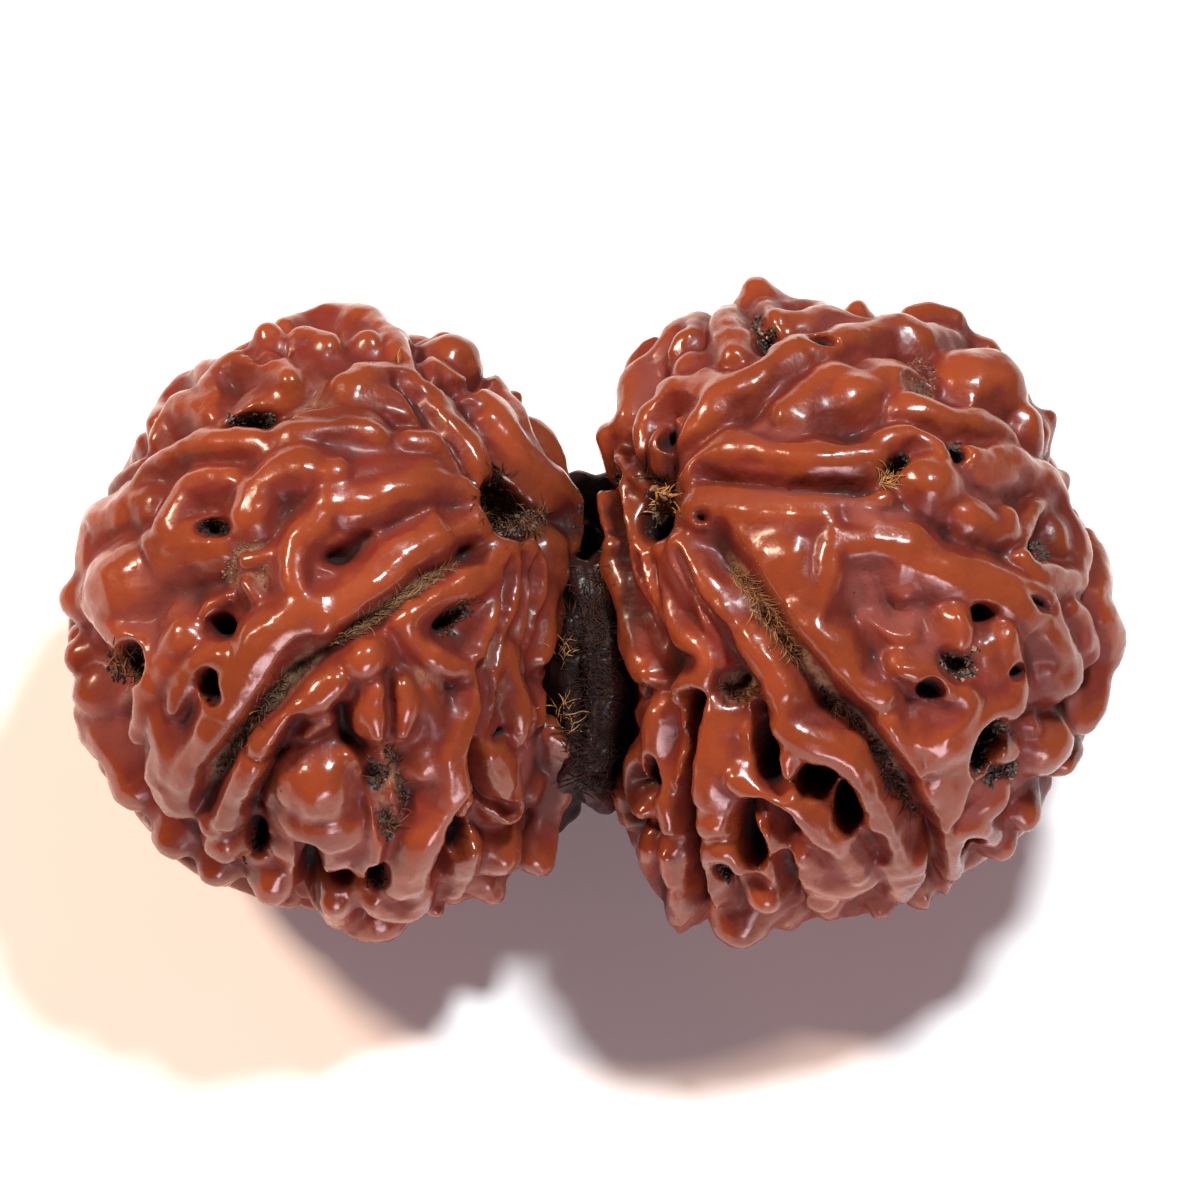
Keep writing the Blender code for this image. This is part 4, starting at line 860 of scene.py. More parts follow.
def get_normals(mesh):
    normals = np.empty(len(mesh.vertices) * 3)
    mesh.vertex_normals.foreach_get("vector", normals)
    return normals.reshape(-1, 3)


# %% Pits and furrows
PIT_REACH = 3.0 * MM
PITS_DEEPER = 1.4


def pit_shares(points, body, pit):
    """Where each point lies in a pit's mouth, 0 in its middle and 1 at its rim, and the pit's axis."""
    place, (width, height), turn, _ = pit
    mouth = body.seen(place)
    axis = unit(body.outward(unit(mouth - body.centre)[None])[0] + TOWARD)
    angle = math.radians(turn)
    along = RIGHT * math.cos(angle) + UP * math.sin(angle)
    along = unit(along - axis * (along @ axis))
    offsets = points - mouth
    shares = (offsets @ along / (width * PIXEL / 2)) ** 2
    shares += (offsets @ np.cross(axis, along) / (height * PIXEL / 2)) ** 2
    shares[offsets @ axis < -PIT_REACH] = np.inf
    return shares, axis


def pit_moves(points, body, pits):
    moves = np.zeros_like(points)
    for pit in pits.values():
        shares, axis = pit_shares(points, body, pit)
        inside = shares < 1
        moves[inside] -= axis * (PITS_DEEPER * pit[3] * MM * (1 - shares[inside] ** 2) ** 1.5)[:, None]
    return moves


def furrow_gaps(points, body, places):
    """Which points lie near a furrow, how far from its floor line, and the normals of the body there."""
    path = crest_path(body, places)
    low, high = path.min(axis=0) - PIT_REACH, path.max(axis=0) + PIT_REACH
    near = np.flatnonzero(((points >= low) & (points <= high)).all(axis=1))
    best = np.full(len(near), np.inf)
    normals = np.zeros((len(near), 3))
    for station, normal in zip(path, body.outward(unit(path - body.centre))):
        offsets = points[near] - station
        far = np.linalg.norm(offsets, axis=1) > PIT_REACH
        offsets -= (offsets @ normal)[:, None] * normal
        gaps = np.linalg.norm(offsets, axis=1)
        gaps[far] = np.inf
        closer = gaps < best
        best[closer] = gaps[closer]
        normals[closer] = normal
    return near, best, normals


def furrow_moves(points, body, furrows):
    moves = np.zeros_like(points)
    for width, depth, places in furrows.values():
        near, gaps, normals = furrow_gaps(points, body, places)
        inside = gaps < width * PIXEL
        shares = (gaps[inside] / (width * PIXEL)) ** 2
        moves[near[inside]] -= normals[inside] * (depth * MM * (1 - shares) ** 2)[:, None]
    return moves


# %% Soften
SOFTEN_ROUNDS = 12
CREASE_FACTOR = 0.5
CREST_FACTOR = 0.12


class Links:
    """Which points of a mesh are neighbours, for averages over them."""

    def __init__(self, mesh):
        ends = np.empty(len(mesh.edges) * 2, dtype=int)
        mesh.edges.foreach_get("vertices", ends)
        ends = ends.reshape(-1, 2)
        self.here = np.concatenate((ends[:, 0], ends[:, 1]))
        self.there = np.concatenate((ends[:, 1], ends[:, 0]))
        self.size = len(mesh.vertices)
        self.counts = np.bincount(self.here, minlength=self.size)

    def mean(self, values):
        return np.bincount(self.here, weights=values[self.there], minlength=self.size) / self.counts

    def means(self, points):
        return np.stack([self.mean(points[:, axis]) for axis in range(3)], axis=1)


def soften(mesh):
    """Rounds out the creases, and the crests much less."""
    links = Links(mesh)
    points = get_points(mesh)
    for _ in range(SOFTEN_ROUNDS):
        pulls = links.means(points) - points
        set_points(mesh, points)
        creased = (pulls * get_normals(mesh)).sum(axis=1) > 0
        points = points + pulls * np.where(creased, CREASE_FACTOR, CREST_FACTOR)[:, None]
    set_points(mesh, points)


# %% [markdown]
# ## Lumps
# Grown wood is never smooth: the ridges swell and dip by a tenth of a millimetre, and the light
# breaks into short streaks on them. A Perlin noise in two sizes moves the points along their
# normals. It is a real shape, so the silhouette has it too. The finest grain comes later as bump.

# %% Lumps
LUMP_SIZES = ((1.9 * MM, 0.17 * MM), (0.75 * MM, 0.075 * MM), (0.36 * MM, 0.026 * MM))


def add_lumps(mesh):
    points = get_points(mesh)
    rises = np.zeros(len(points))
    for size, height in LUMP_SIZES:
        rises += height * np.array([noise.noise(Vector(point)) for point in points / size])
    set_points(mesh, points + get_normals(mesh) * rises[:, None])


# %% Finish a stone's shape
MOST_TRIANGLES = 190000


def thin_out(thing, triangles):
    """Decimates the object's mesh to about that many triangles."""
    count = 2 * len(thing.data.polygons)
    if count > triangles:
        fewer = thing.modifiers.new("thin out", "DECIMATE")
        fewer.ratio = triangles / count
        mesh = evaluated_mesh(thing)
        thing.modifiers.remove(fewer)
        thing.data = mesh


def stand_on_table(mesh):
    """Flattens what would go through the table, which makes the flat spots that the stones rest on."""
    points = get_points(mesh)
    points[:, 2] = np.maximum(points[:, 2], 0.0)
    set_points(mesh, points)


def shaped(name, body, ridges, lobes, pits, furrows):
    thing = fused(name, body, ridges, lobes)
    points = get_points(thing.data)
    moves = furrow_moves(points, body, furrows) + pit_moves(points, body, pits)
    set_points(thing.data, points + moves)
    soften(thing.data)
    thin_out(thing, MOST_TRIANGLES)
    add_lumps(thing.data)
    stand_on_table(thing.data)
    thing.data.shade_smooth()
    print(name, "has", len(thing.data.polygons), "faces")
    return thing


left_stone = shaped("left_stone", LEFT, LEFT_ALL, LEFT_LOBES, LEFT_PITS, LEFT_FURROWS)
right_stone = shaped("right_stone", RIGHT_BODY, RIGHT_ALL, RIGHT_LOBES, RIGHT_PITS, RIGHT_FURROWS)
neck = shaped("neck", NECK_BODY, NECK_ALL, {}, NECK_PITS, {})

# %% [markdown]
# ## What the finish needs to know
# The colour follows the shape: orange on the crests, maroon on the slopes, dusty pink in the valleys, black
# in the pits, with painted shade in the deep places. Each stone carries this as numbers on its points. The
# local height over the smoothed surface tells crest from valley. Masks in the shape of the pits, furrows and
# patches tell where dust and black sit, and where shade and reflection are painted.

# %% Stains and painted light
LEFT_STAINS_AND_PAINTED_LIGHT = {
    "furrow, upper": ("dust", (400, 600), (120, 22), 32, 0.9),
    "furrow, middle": ("dust", (300, 672), (110, 26), 52, 0.9),
    "furrow, lower": ("dust", (222, 760), (100, 26), 56, 0.7),
    "debris valley": ("dust", (390, 795), (34, 90), 0, 0.9),
    "valley by the pyramid": ("dust", (430, 690), (46, 60), 0, 0.6),
    "valley by the long finger": ("dust", (500, 668), (26, 90), 8, 0.6),
    "slope by the middle pit": ("dust", (248, 565), (56, 66), 30, 0.7),
    "slope by the upper pit": ("dust", (318, 395), (60, 70), 30, 0.5),
    # painted reflection: the pink on the lower flank and under the big lobe stands for the lit floor mirrored
    # there
    "skirt": ("pink", (110, 720), (110, 120), -50, 0.8),
    "underside of the big lobe": ("pink", (325, 848), (130, 60), 0, 0.9),
    "rough patch": ("pink", (535, 775), (56, 90), 0, 0.8),
    "broad lobe": ("pink", (150, 610), (110, 130), 0, 0.35),
    # painted reflection: pink along the grazing top rim
    "crown": ("pink", (350, 330), (110, 40), 0, 0.4),
    "shoulder": ("pink", (190, 400), (90, 50), 20, 0.35),
    "slope over the stem pit": ("pink", (540, 462), (60, 46), -40, 0.7),
    # painted shade, partly darker wood: the dark patches darken the crevice between the stones, the stem end
    # and the lower side
    "junction": ("dark", (570, 640), (120, 420), 0, 0.8),
    "stem end": ("dark", (515, 500), (120, 110), 0, 0.55),
    "lower side": ("dark", (545, 800), (80, 200), 0, 0.5),
}
RIGHT_STAINS_AND_PAINTED_LIGHT = {
    "main furrow, upper": ("dust", (745, 590), (100, 24), -56, 0.9),
    "main furrow, middle": ("dust", (800, 662), (110, 24), -52, 0.8),
    "main furrow, lower": ("dust", (878, 760), (120, 24), -56, 0.6),
    "pale band": ("pink", (780, 498), (190, 24), -2, 0.9),
    "pale peak": ("pink", (880, 515), (70, 34), 0, 0.9),
    "hollow": ("pink", (885, 600), (70, 110), 50, 0.9),
    "pebbled hollow": ("pink", (950, 650), (90, 60), -10, 0.6),
    "dusty hollow": ("dust", (918, 382), (42, 50), 30, 0.9),
    "rough patch": ("pink", (985, 805), (80, 60), 20, 0.9),
    "matte swell": ("pink", (985, 480), (90, 56), 0, 0.6),
    "slope of the upper lobe": ("pink", (770, 430), (110, 40), 20, 0.6),
    "low rib": ("pink", (675, 570), (30, 70), 20, 0.8),
    "dusty fibres": ("dust", (732, 690), (40, 40), 0, 0.7),
    # painted reflection: pink along the grazing top and right rims
    "top edge": ("pink", (860, 325), (150, 40), 0, 0.5),
    "right rim": ("pink", (1090, 650), (40, 160), 0, 0.7),
    "left flank": ("pink", (640, 380), (50, 130), -30, 0.5),
    # painted shade, partly darker wood: the dark patches darken the crevice between the stones, the stem end
    # and the rib valley
    "junction": ("dark", (608, 640), (130, 420), 0, 0.8),
    "stem end": ("dark", (648, 490), (100, 140), 0, 0.7),
    "valley of the ribs": ("dark", (700, 690), (130, 60), -10, 0.5),
}
PALE_PITS = ("hollow", "dusty hollow", "pebbled hollow")
STAIN_AND_LIGHT_KINDS = ("dust", "pink", "dark")
print(len(LEFT_STAINS_AND_PAINTED_LIGHT) + len(RIGHT_STAINS_AND_PAINTED_LIGHT), "stains_and_painted_light")

# %% Numbers on the points
BROAD_ROUNDS = 110
SOFT_EDGE = 0.6


def put_attribute(mesh, name, values):
    attribute = mesh.attributes.get(name) or mesh.attributes.new(name, "FLOAT", "POINT")
    attribute.data.foreach_set("value", values.astype(np.float32))


def local_heights(mesh, rounds):
    """How far each point stands over the mesh averaged over its neighbourhood, in millimetres."""
    links = Links(mesh)
    points = get_points(mesh)
    level = points
    for _ in range(rounds):
        level = level + (links.means(level) - level) * 0.5
    return ((points - level) * get_normals(mesh)).sum(axis=1) / MM


def fade(shares):
    """1 in the middle of a patch, 0 from its rim out, with a soft edge."""
    return np.clip((1 - shares) / SOFT_EDGE, 0, 1)


def put_numbers(thing, body, pits, stains_and_painted_light):
    mesh = thing.data
    points = get_points(mesh)
    put_attribute(mesh, "broad", local_heights(mesh, BROAD_ROUNDS))
    arms = points - body.centre
    relief = (np.linalg.norm(arms, axis=1) - body.reach(unit(arms))) / MM
    put_attribute(mesh, "relief", relief)
    black = np.zeros(len(points))
    for name, pit in pits.items():
        if name not in PALE_PITS:
            black = np.maximum(black, fade(pit_shares(points, body, pit)[0]))
    put_attribute(mesh, "black", black)
    masks = {kind: np.zeros(len(points)) for kind in STAIN_AND_LIGHT_KINDS}
    for kind, place, size, turn, strength in stains_and_painted_light.values():
        shares, _ = pit_shares(points, body, (place, size, turn, 0))
        masks[kind] = np.maximum(masks[kind], strength * fade(shares))
    for kind, values in masks.items():
        put_attribute(mesh, kind, values)
    print(thing.name, "relief in mm from", relief.min().round(2), "to", relief.max().round(2))


put_numbers(left_stone, LEFT, LEFT_PITS, LEFT_STAINS_AND_PAINTED_LIGHT)
put_numbers(right_stone, RIGHT_BODY, RIGHT_PITS, RIGHT_STAINS_AND_PAINTED_LIGHT)
put_numbers(neck, NECK_BODY, NECK_PITS, {})

# %% [markdown]
# ## Finding the surface again
# The fibres and crumbs lie on the finished skin, bumps and all. A tree of its faces answers where a
# line of sight at any place of the drawing first meets it.

# %% Line of sight
VIEW_START = 60.0 * MM


def skin_tree(things):
    bm = bmesh.new()
    for thing in things:
        bm.from_mesh(thing.data)
    tree = BVHTree.FromBMesh(bm)
    bm.free()
    return tree


SKIN = skin_tree((left_stone, right_stone, neck))


def sight(place):
    """The point and normal of the skin that the viewer sees at a place, or None past its edge."""
    across = (place[0] - PICTURE_CENTRE[0]) * PIXEL
    rise = (PICTURE_CENTRE[1] - place[1]) * PIXEL
    start = np.array((0, 0, MIDDLE_HEIGHT)) + across * RIGHT + rise * UP + VIEW_START * TOWARD
    point, normal, _, _ = SKIN.ray_cast(Vector(start), Vector(-TOWARD))
    return None if point is None else (np.array(point), np.array(normal))


# %% Low spots
LOW_REACH = 15
LOW_PROBES = 6
LOW_BY = 0.05 * MM
PLACE_TRIES = 4
NECK_HALF = 28


def low_spot(place):
    """The skin at a place if it lies lower than the skin round it, or None."""
    met = sight(place)
    turns = [math.radians(360 / LOW_PROBES * k) for k in range(LOW_PROBES)]
    around = [sight((place[0] + LOW_REACH * math.cos(t), place[1] + LOW_REACH * math.sin(t))) for t in turns]
    if met is None or None in around:
        return None
    level = sum(near[0] @ TOWARD for near in around) / len(around)
    on_neck = abs(place[0] - NECK["middle"][0]) < NECK_HALF
    return met if on_neck or level - met[0] @ TOWARD > LOW_BY else None


def low_place(patch, draw):
    """A place of low skin in a patch of the drawing, or None where a few tries find none."""
    middle, size, turn = patch
    turn = math.radians(turn)
    for _ in range(PLACE_TRIES):
        angle = draw.uniform(0, 2 * math.pi)
        share = math.sqrt(draw.random()) / 2
        across = share * size[0] * math.cos(angle)
        down = share * size[1] * math.sin(angle)
        place = (middle[0] + across * math.cos(turn) + down * math.sin(turn),
                 middle[1] - across * math.sin(turn) + down * math.cos(turn))
        if low_spot(place) is not None:
            return place
    return None


# %% [markdown]
# ## Fibres
# Hair particles would be quick, but they are lost when the model is exported. Each fibre is a thin
# tapered tube instead, eight points long, that follows the skin and lifts off it in an arc. Every
# fibre keeps a shade of its own as a number on its points. On the real one they are short and
# matted, and they only lie where they were out of reach of the brush, so they start in low spots.

# %% Fibre tufts
FIBRE_STEPS = 7
MOST_BEND = 0.22
MOST_KINK = 0.25
TIP_THINNING = 0.75
LIFT_SHARES = (0.1, 1.0)
CALM_ROUNDS = 3

# Each tuft: patch as place, size and turn, count, lengths in drawing units, thicknesses and lift in
# millimetres, heading and spread in degrees, shades
TUFTS = {
    "left stem": (((518, 510), (60, 46), -20), 240, (8, 22), (0.014, 0.035), 0.05, 20, 180, (0.15, 0.5)),
    "left stem, dark": (((496, 494), (50, 44), 60), 80, (8, 18), (0.02, 0.04), 0.1, 0, 180, (0.0, 0.25)),
    "right stem": (((658, 504), (30, 30), 0), 46, (8, 18), (0.03, 0.06), 0.16, 50, 110, (0.6, 0.85)),
    "right stem, dark": (((646, 498), (52, 60), 0), 80, (8, 22), (0.02, 0.04), 0.12, 60, 120, (0.0, 0.3)),
    "neck, dark": (((590, 705), (56, 220), 0), 620, (8, 22), (0.014, 0.035), 0.12, 90, 120, (0.0, 0.1)),
    "neck, red": (((588, 600), (40, 80), 0), 90, (8, 20), (0.016, 0.03), 0.06, 90, 60, (0.1, 0.3)),
    "neck, upper tan": (((562, 650), (22, 22), 0), 22, (8, 20), (0.012, 0.024), 0.15, 30, 90, (0.4, 0.75)),
    "neck, lower tan": (((564, 718), (20, 40), 0), 30, (8, 26), (0.012, 0.022), 0.2, 70, 90, (0.4, 0.85)),
    "neck, top": (((600, 476), (40, 22), 0), 40, (8, 20), (0.016, 0.035), 0.15, 40, 120, (0.0, 0.4)),
    "left furrow": (((392, 606), (150, 16), 33), 130, (6, 18), (0.014, 0.03), 0.06, 32, 25, (0.35, 0.65)),
    "left furrow, lower": (((255, 722), (110, 18), 56), 90, (6, 16), (0.014, 0.03), 0.06, 60, 40, (0.1, 0.5)),
    "left valley": (((390, 790), (34, 90), 0), 110, (6, 16), (0.014, 0.03), 0.08, 90, 90, (0.1, 0.5)),
    "left cavity": (((128, 662), (38, 36), 0), 50, (8, 20), (0.016, 0.035), 0.12, 30, 90, (0.1, 0.6)),
    "left slot": (((456, 618), (20, 46), -45), 40, (6, 16), (0.014, 0.03), 0.08, 45, 40, (0.1, 0.5)),
    "right furrow": (((762, 612), (110, 22), -56), 170, (8, 22), (0.016, 0.034), 0.1, -55, 30, (0.3, 0.65)),
    "right furrow, lower": (((866, 750), (150, 22), -54), 120, (6, 18), (0.014, 0.03), 0.08, -55, 40,
                            (0.05, 0.35)),
    "under the arch": (((884, 480), (22, 18), 30), 30, (8, 20), (0.018, 0.034), 0.16, 30, 60, (0.45, 0.75)),
    "left crown": (((405, 365), (12, 12), 0), 10, (8, 20), (0.016, 0.03), 0.4, 90, 40, (0.4, 0.7)),
    "grey dust fibres": (((735, 694), (46, 20), -10), 50, (6, 18), (0.014, 0.03), 0.1, 20, 90, (0.05, 0.4)),
}


def fibre_stations(place, length, thicknesses, lift, heading, draw):
    """Centres and radii of one fibre, or None where it leaves the skin."""
    stride = draw.uniform(*length) / FIBRE_STEPS
    thickness = draw.uniform(*thicknesses) * MM
    lift *= draw.uniform(*LIFT_SHARES) * MM
    bend = draw.uniform(-MOST_BEND, MOST_BEND)
    centres, radii = [], []
    for k in range(FIBRE_STEPS + 1):
        met = sight(place)
        if met is None:
            return None
        along = k / FIBRE_STEPS
        centres.append(met[0] + TOWARD * (thickness / 2 + lift * math.sin(math.pi * along)))
        radii.append(thickness * (1 - TIP_THINNING * along**2))
        heading += bend + draw.uniform(-MOST_KINK, MOST_KINK)
        place = (place[0] + stride * math.cos(heading), place[1] - stride * math.sin(heading))
    return centres, radii


def calm(centres):
    """The centres without jumps where a fibre crosses from one ridge to the next."""
    centres = np.array(centres)
    for _ in range(CALM_ROUNDS):
        centres[1:-1] = (centres[:-2] + 2 * centres[1:-1] + centres[2:]) / 4
    return centres


def make_fibres():
    draw = random.Random(SEED)
    bm = bmesh.new()
    shade = bm.verts.layers.float.new("shade")
    count = 0
    for patch, wanted, length, thicknesses, lift, heading, spread, shades in TUFTS.values():
        for _ in range(wanted):
            value = draw.uniform(*shades)
            turn = math.radians(heading + draw.uniform(-spread, spread))
            place = low_place(patch, draw)
            stations = place and fibre_stations(place, length, thicknesses, lift, turn, draw)
            if not stations:
                continue
            mesh = tubes_mesh([(calm(stations[0]), stations[1])], sides=0)
            before = len(bm.verts)
            bm.from_mesh(mesh)
            bpy.data.meshes.remove(mesh)
            bm.verts.ensure_lookup_table()
            for vert in bm.verts[before:]:
                vert[shade] = value
            count += 1
    made = bpy.data.meshes.new("fibres")
    bm.to_mesh(made)
    bm.free()
    made.shade_smooth()
    print(count, "fibres,", len(made.polygons), "faces")
    return link_to_scene("fibres", made)


fibres = make_fibres()

# %% [markdown]
# ## Crumbs
# The pits hold broken bits of dried pulp: black and brown ones, with a few grey, greenish and pale specks
# between them. Each bit is a ball of twenty faces, squashed, pushed out of round and half sunk in the skin.
# Most are so small that they read as grit.

# %% Crumb beds
BLACK_MIX = (0.02, 0.04, 0.05, 0.06, 0.08, 0.1, 0.2)
GREY_MIX = (0.04, 0.06, 0.1, 0.2, 0.25, 0.3)
TAN_MIX = (0.1, 0.2, 0.35, 0.42, 0.45, 0.5)
PALE_MIX = (0.03, 0.05, 0.06, 0.1, 0.2, 0.28, 0.33, 0.6)
GOLD_MIX = (0.55, 0.6, 0.65)
GRIT = (0.025, 0.07)
BITS = (0.04, 0.11)

# Each bed: patch as place, size and turn, count, sizes in millimetres and shades
BEDS = {
    "left upper pit": (((252, 417), (52, 24), -8), 150, BITS, GREY_MIX),
    "left middle pit": (((214, 526), (46, 26), 10), 130, BITS, BLACK_MIX),
    "left slope": (((246, 562), (50, 56), 0), 130, GRIT, TAN_MIX),
    "left tall pit": (((212, 690), (24, 40), 0), 70, BITS, BLACK_MIX),
    "left cavity": (((128, 664), (42, 42), 0), 110, BITS, BLACK_MIX),
    "left slot": (((456, 620), (20, 48), -45), 90, BITS, GREY_MIX),
    "left stem": (((512, 508), (70, 58), 0), 300, BITS, TAN_MIX),
    "left stem, black": (((492, 494), (40, 40), 0), 140, BITS, BLACK_MIX),
    "left furrow, upper": (((400, 602), (150, 14), 33), 200, GRIT, TAN_MIX),
    "left furrow, lower": (((250, 728), (120, 18), 56), 220, GRIT, GREY_MIX),
    "left debris valley": (((386, 790), (34, 100), 0), 300, BITS, GREY_MIX),
    "left low pit": (((256, 850), (24, 44), 0), 80, BITS, BLACK_MIX),
    "left bottom pit": (((380, 884), (26, 42), 0), 80, BITS, BLACK_MIX),
    "right crown cavity": (((763, 335), (26, 40), 0), 150, BITS, PALE_MIX),
    "right upper pit": (((955, 452), (28, 18), 10), 70, BITS, GREY_MIX),
    "right ring pit": (((1035, 552), (24, 22), 0), 50, BITS, (0.25, 0.28, 0.3)),
    "right arch pit": (((893, 462), (28, 18), 0), 70, BITS, BLACK_MIX),
    "right pebbled hollow": (((956, 664), (50, 34), 30), 240, BITS, PALE_MIX),
    "right block pit": (((928, 690), (24, 18), 0), 40, BITS, BLACK_MIX),
    "right large pit": (((990, 750), (50, 76), 15), 520, BITS, PALE_MIX),
    "right grey pit": (((722, 874), (18, 26), 0), 50, BITS, GREY_MIX),
    "right dusty hollow": (((918, 382), (40, 46), 0), 120, GRIT, TAN_MIX),
    "right furrow": (((762, 614), (120, 24), -56), 300, GRIT, TAN_MIX),
    "right furrow, lower": (((866, 750), (160, 24), -54), 260, BITS, BLACK_MIX),
    "right stem": (((648, 522), (40, 36), 0), 120, BITS, BLACK_MIX),
    "right stem, gold": (((658, 505), (30, 28), 0), 44, (0.12, 0.3), GOLD_MIX),
    "neck": (((592, 700), (52, 190), 0), 300, (0.05, 0.14), BLACK_MIX),
    "neck slot": (((583, 532), (24, 56), 0), 100, BITS, BLACK_MIX),
}
SUNK_SHARE = 0.35
CRUMB_STRETCH = (0.5, 1.4)
CORNER_STRETCH = (0.7, 1.2)
SHADE_SWING = 0.03


def make_crumbs():
    draw = random.Random(SEED + 1)
    bm = bmesh.new()
    shade = bm.verts.layers.float.new("shade")
    count = 0
    for patch, wanted, sizes, shades in BEDS.values():
        for _ in range(wanted):
            place = low_place(patch, draw)
            size = draw.uniform(*sizes) * MM
            stretch = [draw.uniform(*CRUMB_STRETCH) for _ in range(3)]
            value = draw.choice(shades) + draw.uniform(-SHADE_SWING, SHADE_SWING)
            if place is None:
                continue
            point, normal = sight(place)
            middle = point - normal * size * SUNK_SHARE
            made = bmesh.ops.create_icosphere(bm, subdivisions=1, radius=size)
            for vert in made["verts"]:
                corner = np.array([a * b for a, b in zip(vert.co, stretch)])
                vert.co = middle + corner * draw.uniform(*CORNER_STRETCH)
                vert[shade] = value
            count += 1
    made = bpy.data.meshes.new("crumbs")
    bm.to_mesh(made)
    bm.free()
    print(count, "crumbs,", len(made.polygons), "faces")
    return link_to_scene("crumbs", made)


crumbs = make_crumbs()

# %% [markdown]
# ## Node helpers
# A material is a small graph. Two helpers keep the code short: one adds a node, sets its fields and
# fills its inputs with numbers, colours or other nodes' outputs, the other makes a colour ramp.


# %% Node helpers
def add_node(tree, kind, inputs=None, **settings):
    node = tree.nodes.new("ShaderNode" + kind)
    for name, value in settings.items():
        setattr(node, name, value)
    for name, value in (inputs or {}).items():
        if isinstance(value, bpy.types.NodeSocket):
            tree.links.new(value, node.inputs[name])
        else:
            node.inputs[name].default_value = value
    return node


def add_ramp(tree, value, stops):
    """A colour ramp over a value, from (position, colour) stops."""
    node = add_node(tree, "ValToRGB", {0: value})
    elements = node.color_ramp.elements
    while len(elements) < len(stops):
        elements.new(0.5)
    for element, (position, colour) in zip(elements, stops):
        element.position = position
        element.color = (*colour, 1.0)
    return node.outputs["Color"]


def mix_colours(tree, share, first, second):
    node = add_node(tree, "Mix", {0: share, 6: first, 7: second}, data_type="RGBA")
    return node.outputs[2]


def mix_numbers(tree, share, first, second):
    return add_node(tree, "Mix", {0: share, 2: first, 3: second}).outputs[0]


def span(tree, value, low, high, to_low=0.0, to_high=1.0):
    """A value's place between two limits, as a number between two others."""
    ends = {0: value, 1: low, 2: high, 3: to_low, 4: to_high}
    return add_node(tree, "MapRange", ends, interpolation_type="SMOOTHSTEP").outputs[0]


def add_math(tree, operation, first, second):
    return add_node(tree, "Math", {0: first, 1: second}, operation=operation).outputs[0]


def add_noise(tree, where, scale, detail=4.0, roughness=0.55):
    ends = {"Vector": where, "Scale": scale, "Detail": detail, "Roughness": roughness}
    return add_node(tree, "TexNoise", ends).outputs["Fac"]


def new_group(name, inputs, outputs):
    group = bpy.data.node_groups.new(name, "ShaderNodeTree")
    for side, sockets in (("INPUT", inputs), ("OUTPUT", outputs)):
        for socket, kind in sockets:
            group.interface.new_socket(name=socket, in_out=side, socket_type="NodeSocket" + kind)
    return group, group.nodes.new("NodeGroupInput"), group.nodes.new("NodeGroupOutput")


# %% [markdown]
# ## The grown-wood finish
# Both stones and the neck share one effect, so it is a node group. It takes the numbers on the
# points and the colours of a piece, and gives its colour, roughness, gloss and grain height. The
# crest, slope and valley colours follow the height, blurred by noise so that no edge is clean.
# Dust, pink and black lie over them, thickest where the surface is low. The pink on rims and undersides is a
# painted reflection, and the black in the deepest clefts is painted shade.

# %% Noise and fading ranges
GRAIN_SCALE = 5200.0
MOTTLE_SCALE = 620.0
CLOUD_SCALE = 190.0
SPECK_SCALE = 2300.0
DIMPLE_SCALE = 2100.0
MIDDLE_OF_NOISE = (0.3, 0.7)
PINK_MOTTLE = (0.25, 0.6)
DUSTY_SPECK = (0.36, 0.56)
BLUR = 0.5

# Between which heights in millimetres, over the smoothed surface or the plain body, each effect comes in
CREST_COMES = (0.0, 0.26)
VALLEY_COMES = (-0.05, -0.36)
DUST_COMES = (0.14, -0.16)
PINK_COMES = (0.3, 0.0)
PIT_BLACK_COMES = (0.04, -0.22)
DEEP_SHADE_COMES = (-0.34, -0.68)
CREVICE_SHADE_COMES = (0.35, -0.1)
RECESS_SHADE_COMES = (-0.7, -1.9)

# How bright the wood is, least and most: by clouds, and with painted shade deep below the plain body and in
# the crevice
CLOUD_BRIGHTNESS = (0.80, 1.15)
RECESS_SHADE_BRIGHTNESS = (1.0, 0.32)
CREVICE_SHADE_SHARES = (0.35, 0.9)

# How much of the pink and of the dust shows, over the crests and between the specks
PINK_BY_HEIGHT = (0.25, 1.0)
PINK_BY_MOTTLE = (0.45, 1.0)
DUST_BY_SPECK = (0.25, 1.0)

SLOPE_ROUGHNESS = 0.46
CREST_ROUGHNESS = 0.24
VALLEY_ROUGHNESS = 0.72
MATT_ROUGHNESS = 0.85
GRAIN_ROUGHNESS = (-0.05, 0.07)
SLOPE_GLOSS = 0.08
CREST_GLOSS = 0.6
MOTTLE_BUMP = 1.2
GRAIN_BUMP = 0.25
DIMPLE_BUMP = 1.1
GRIT_BUMP = 2.2

POINT_NUMBERS = ("Broad", "Relief", "Black", "Dust", "Pink", "Dark")


# %% Grown-wood group
def times(tree, first, second):
    return add_math(tree, "MULTIPLY", first, second)


def plus(tree, first, second):
    return add_math(tree, "ADD", first, second)


def larger(tree, first, second):
    return add_math(tree, "MAXIMUM", first, second)


def rest_of(tree, share):
    return add_math(tree, "SUBTRACT", 1.0, share)


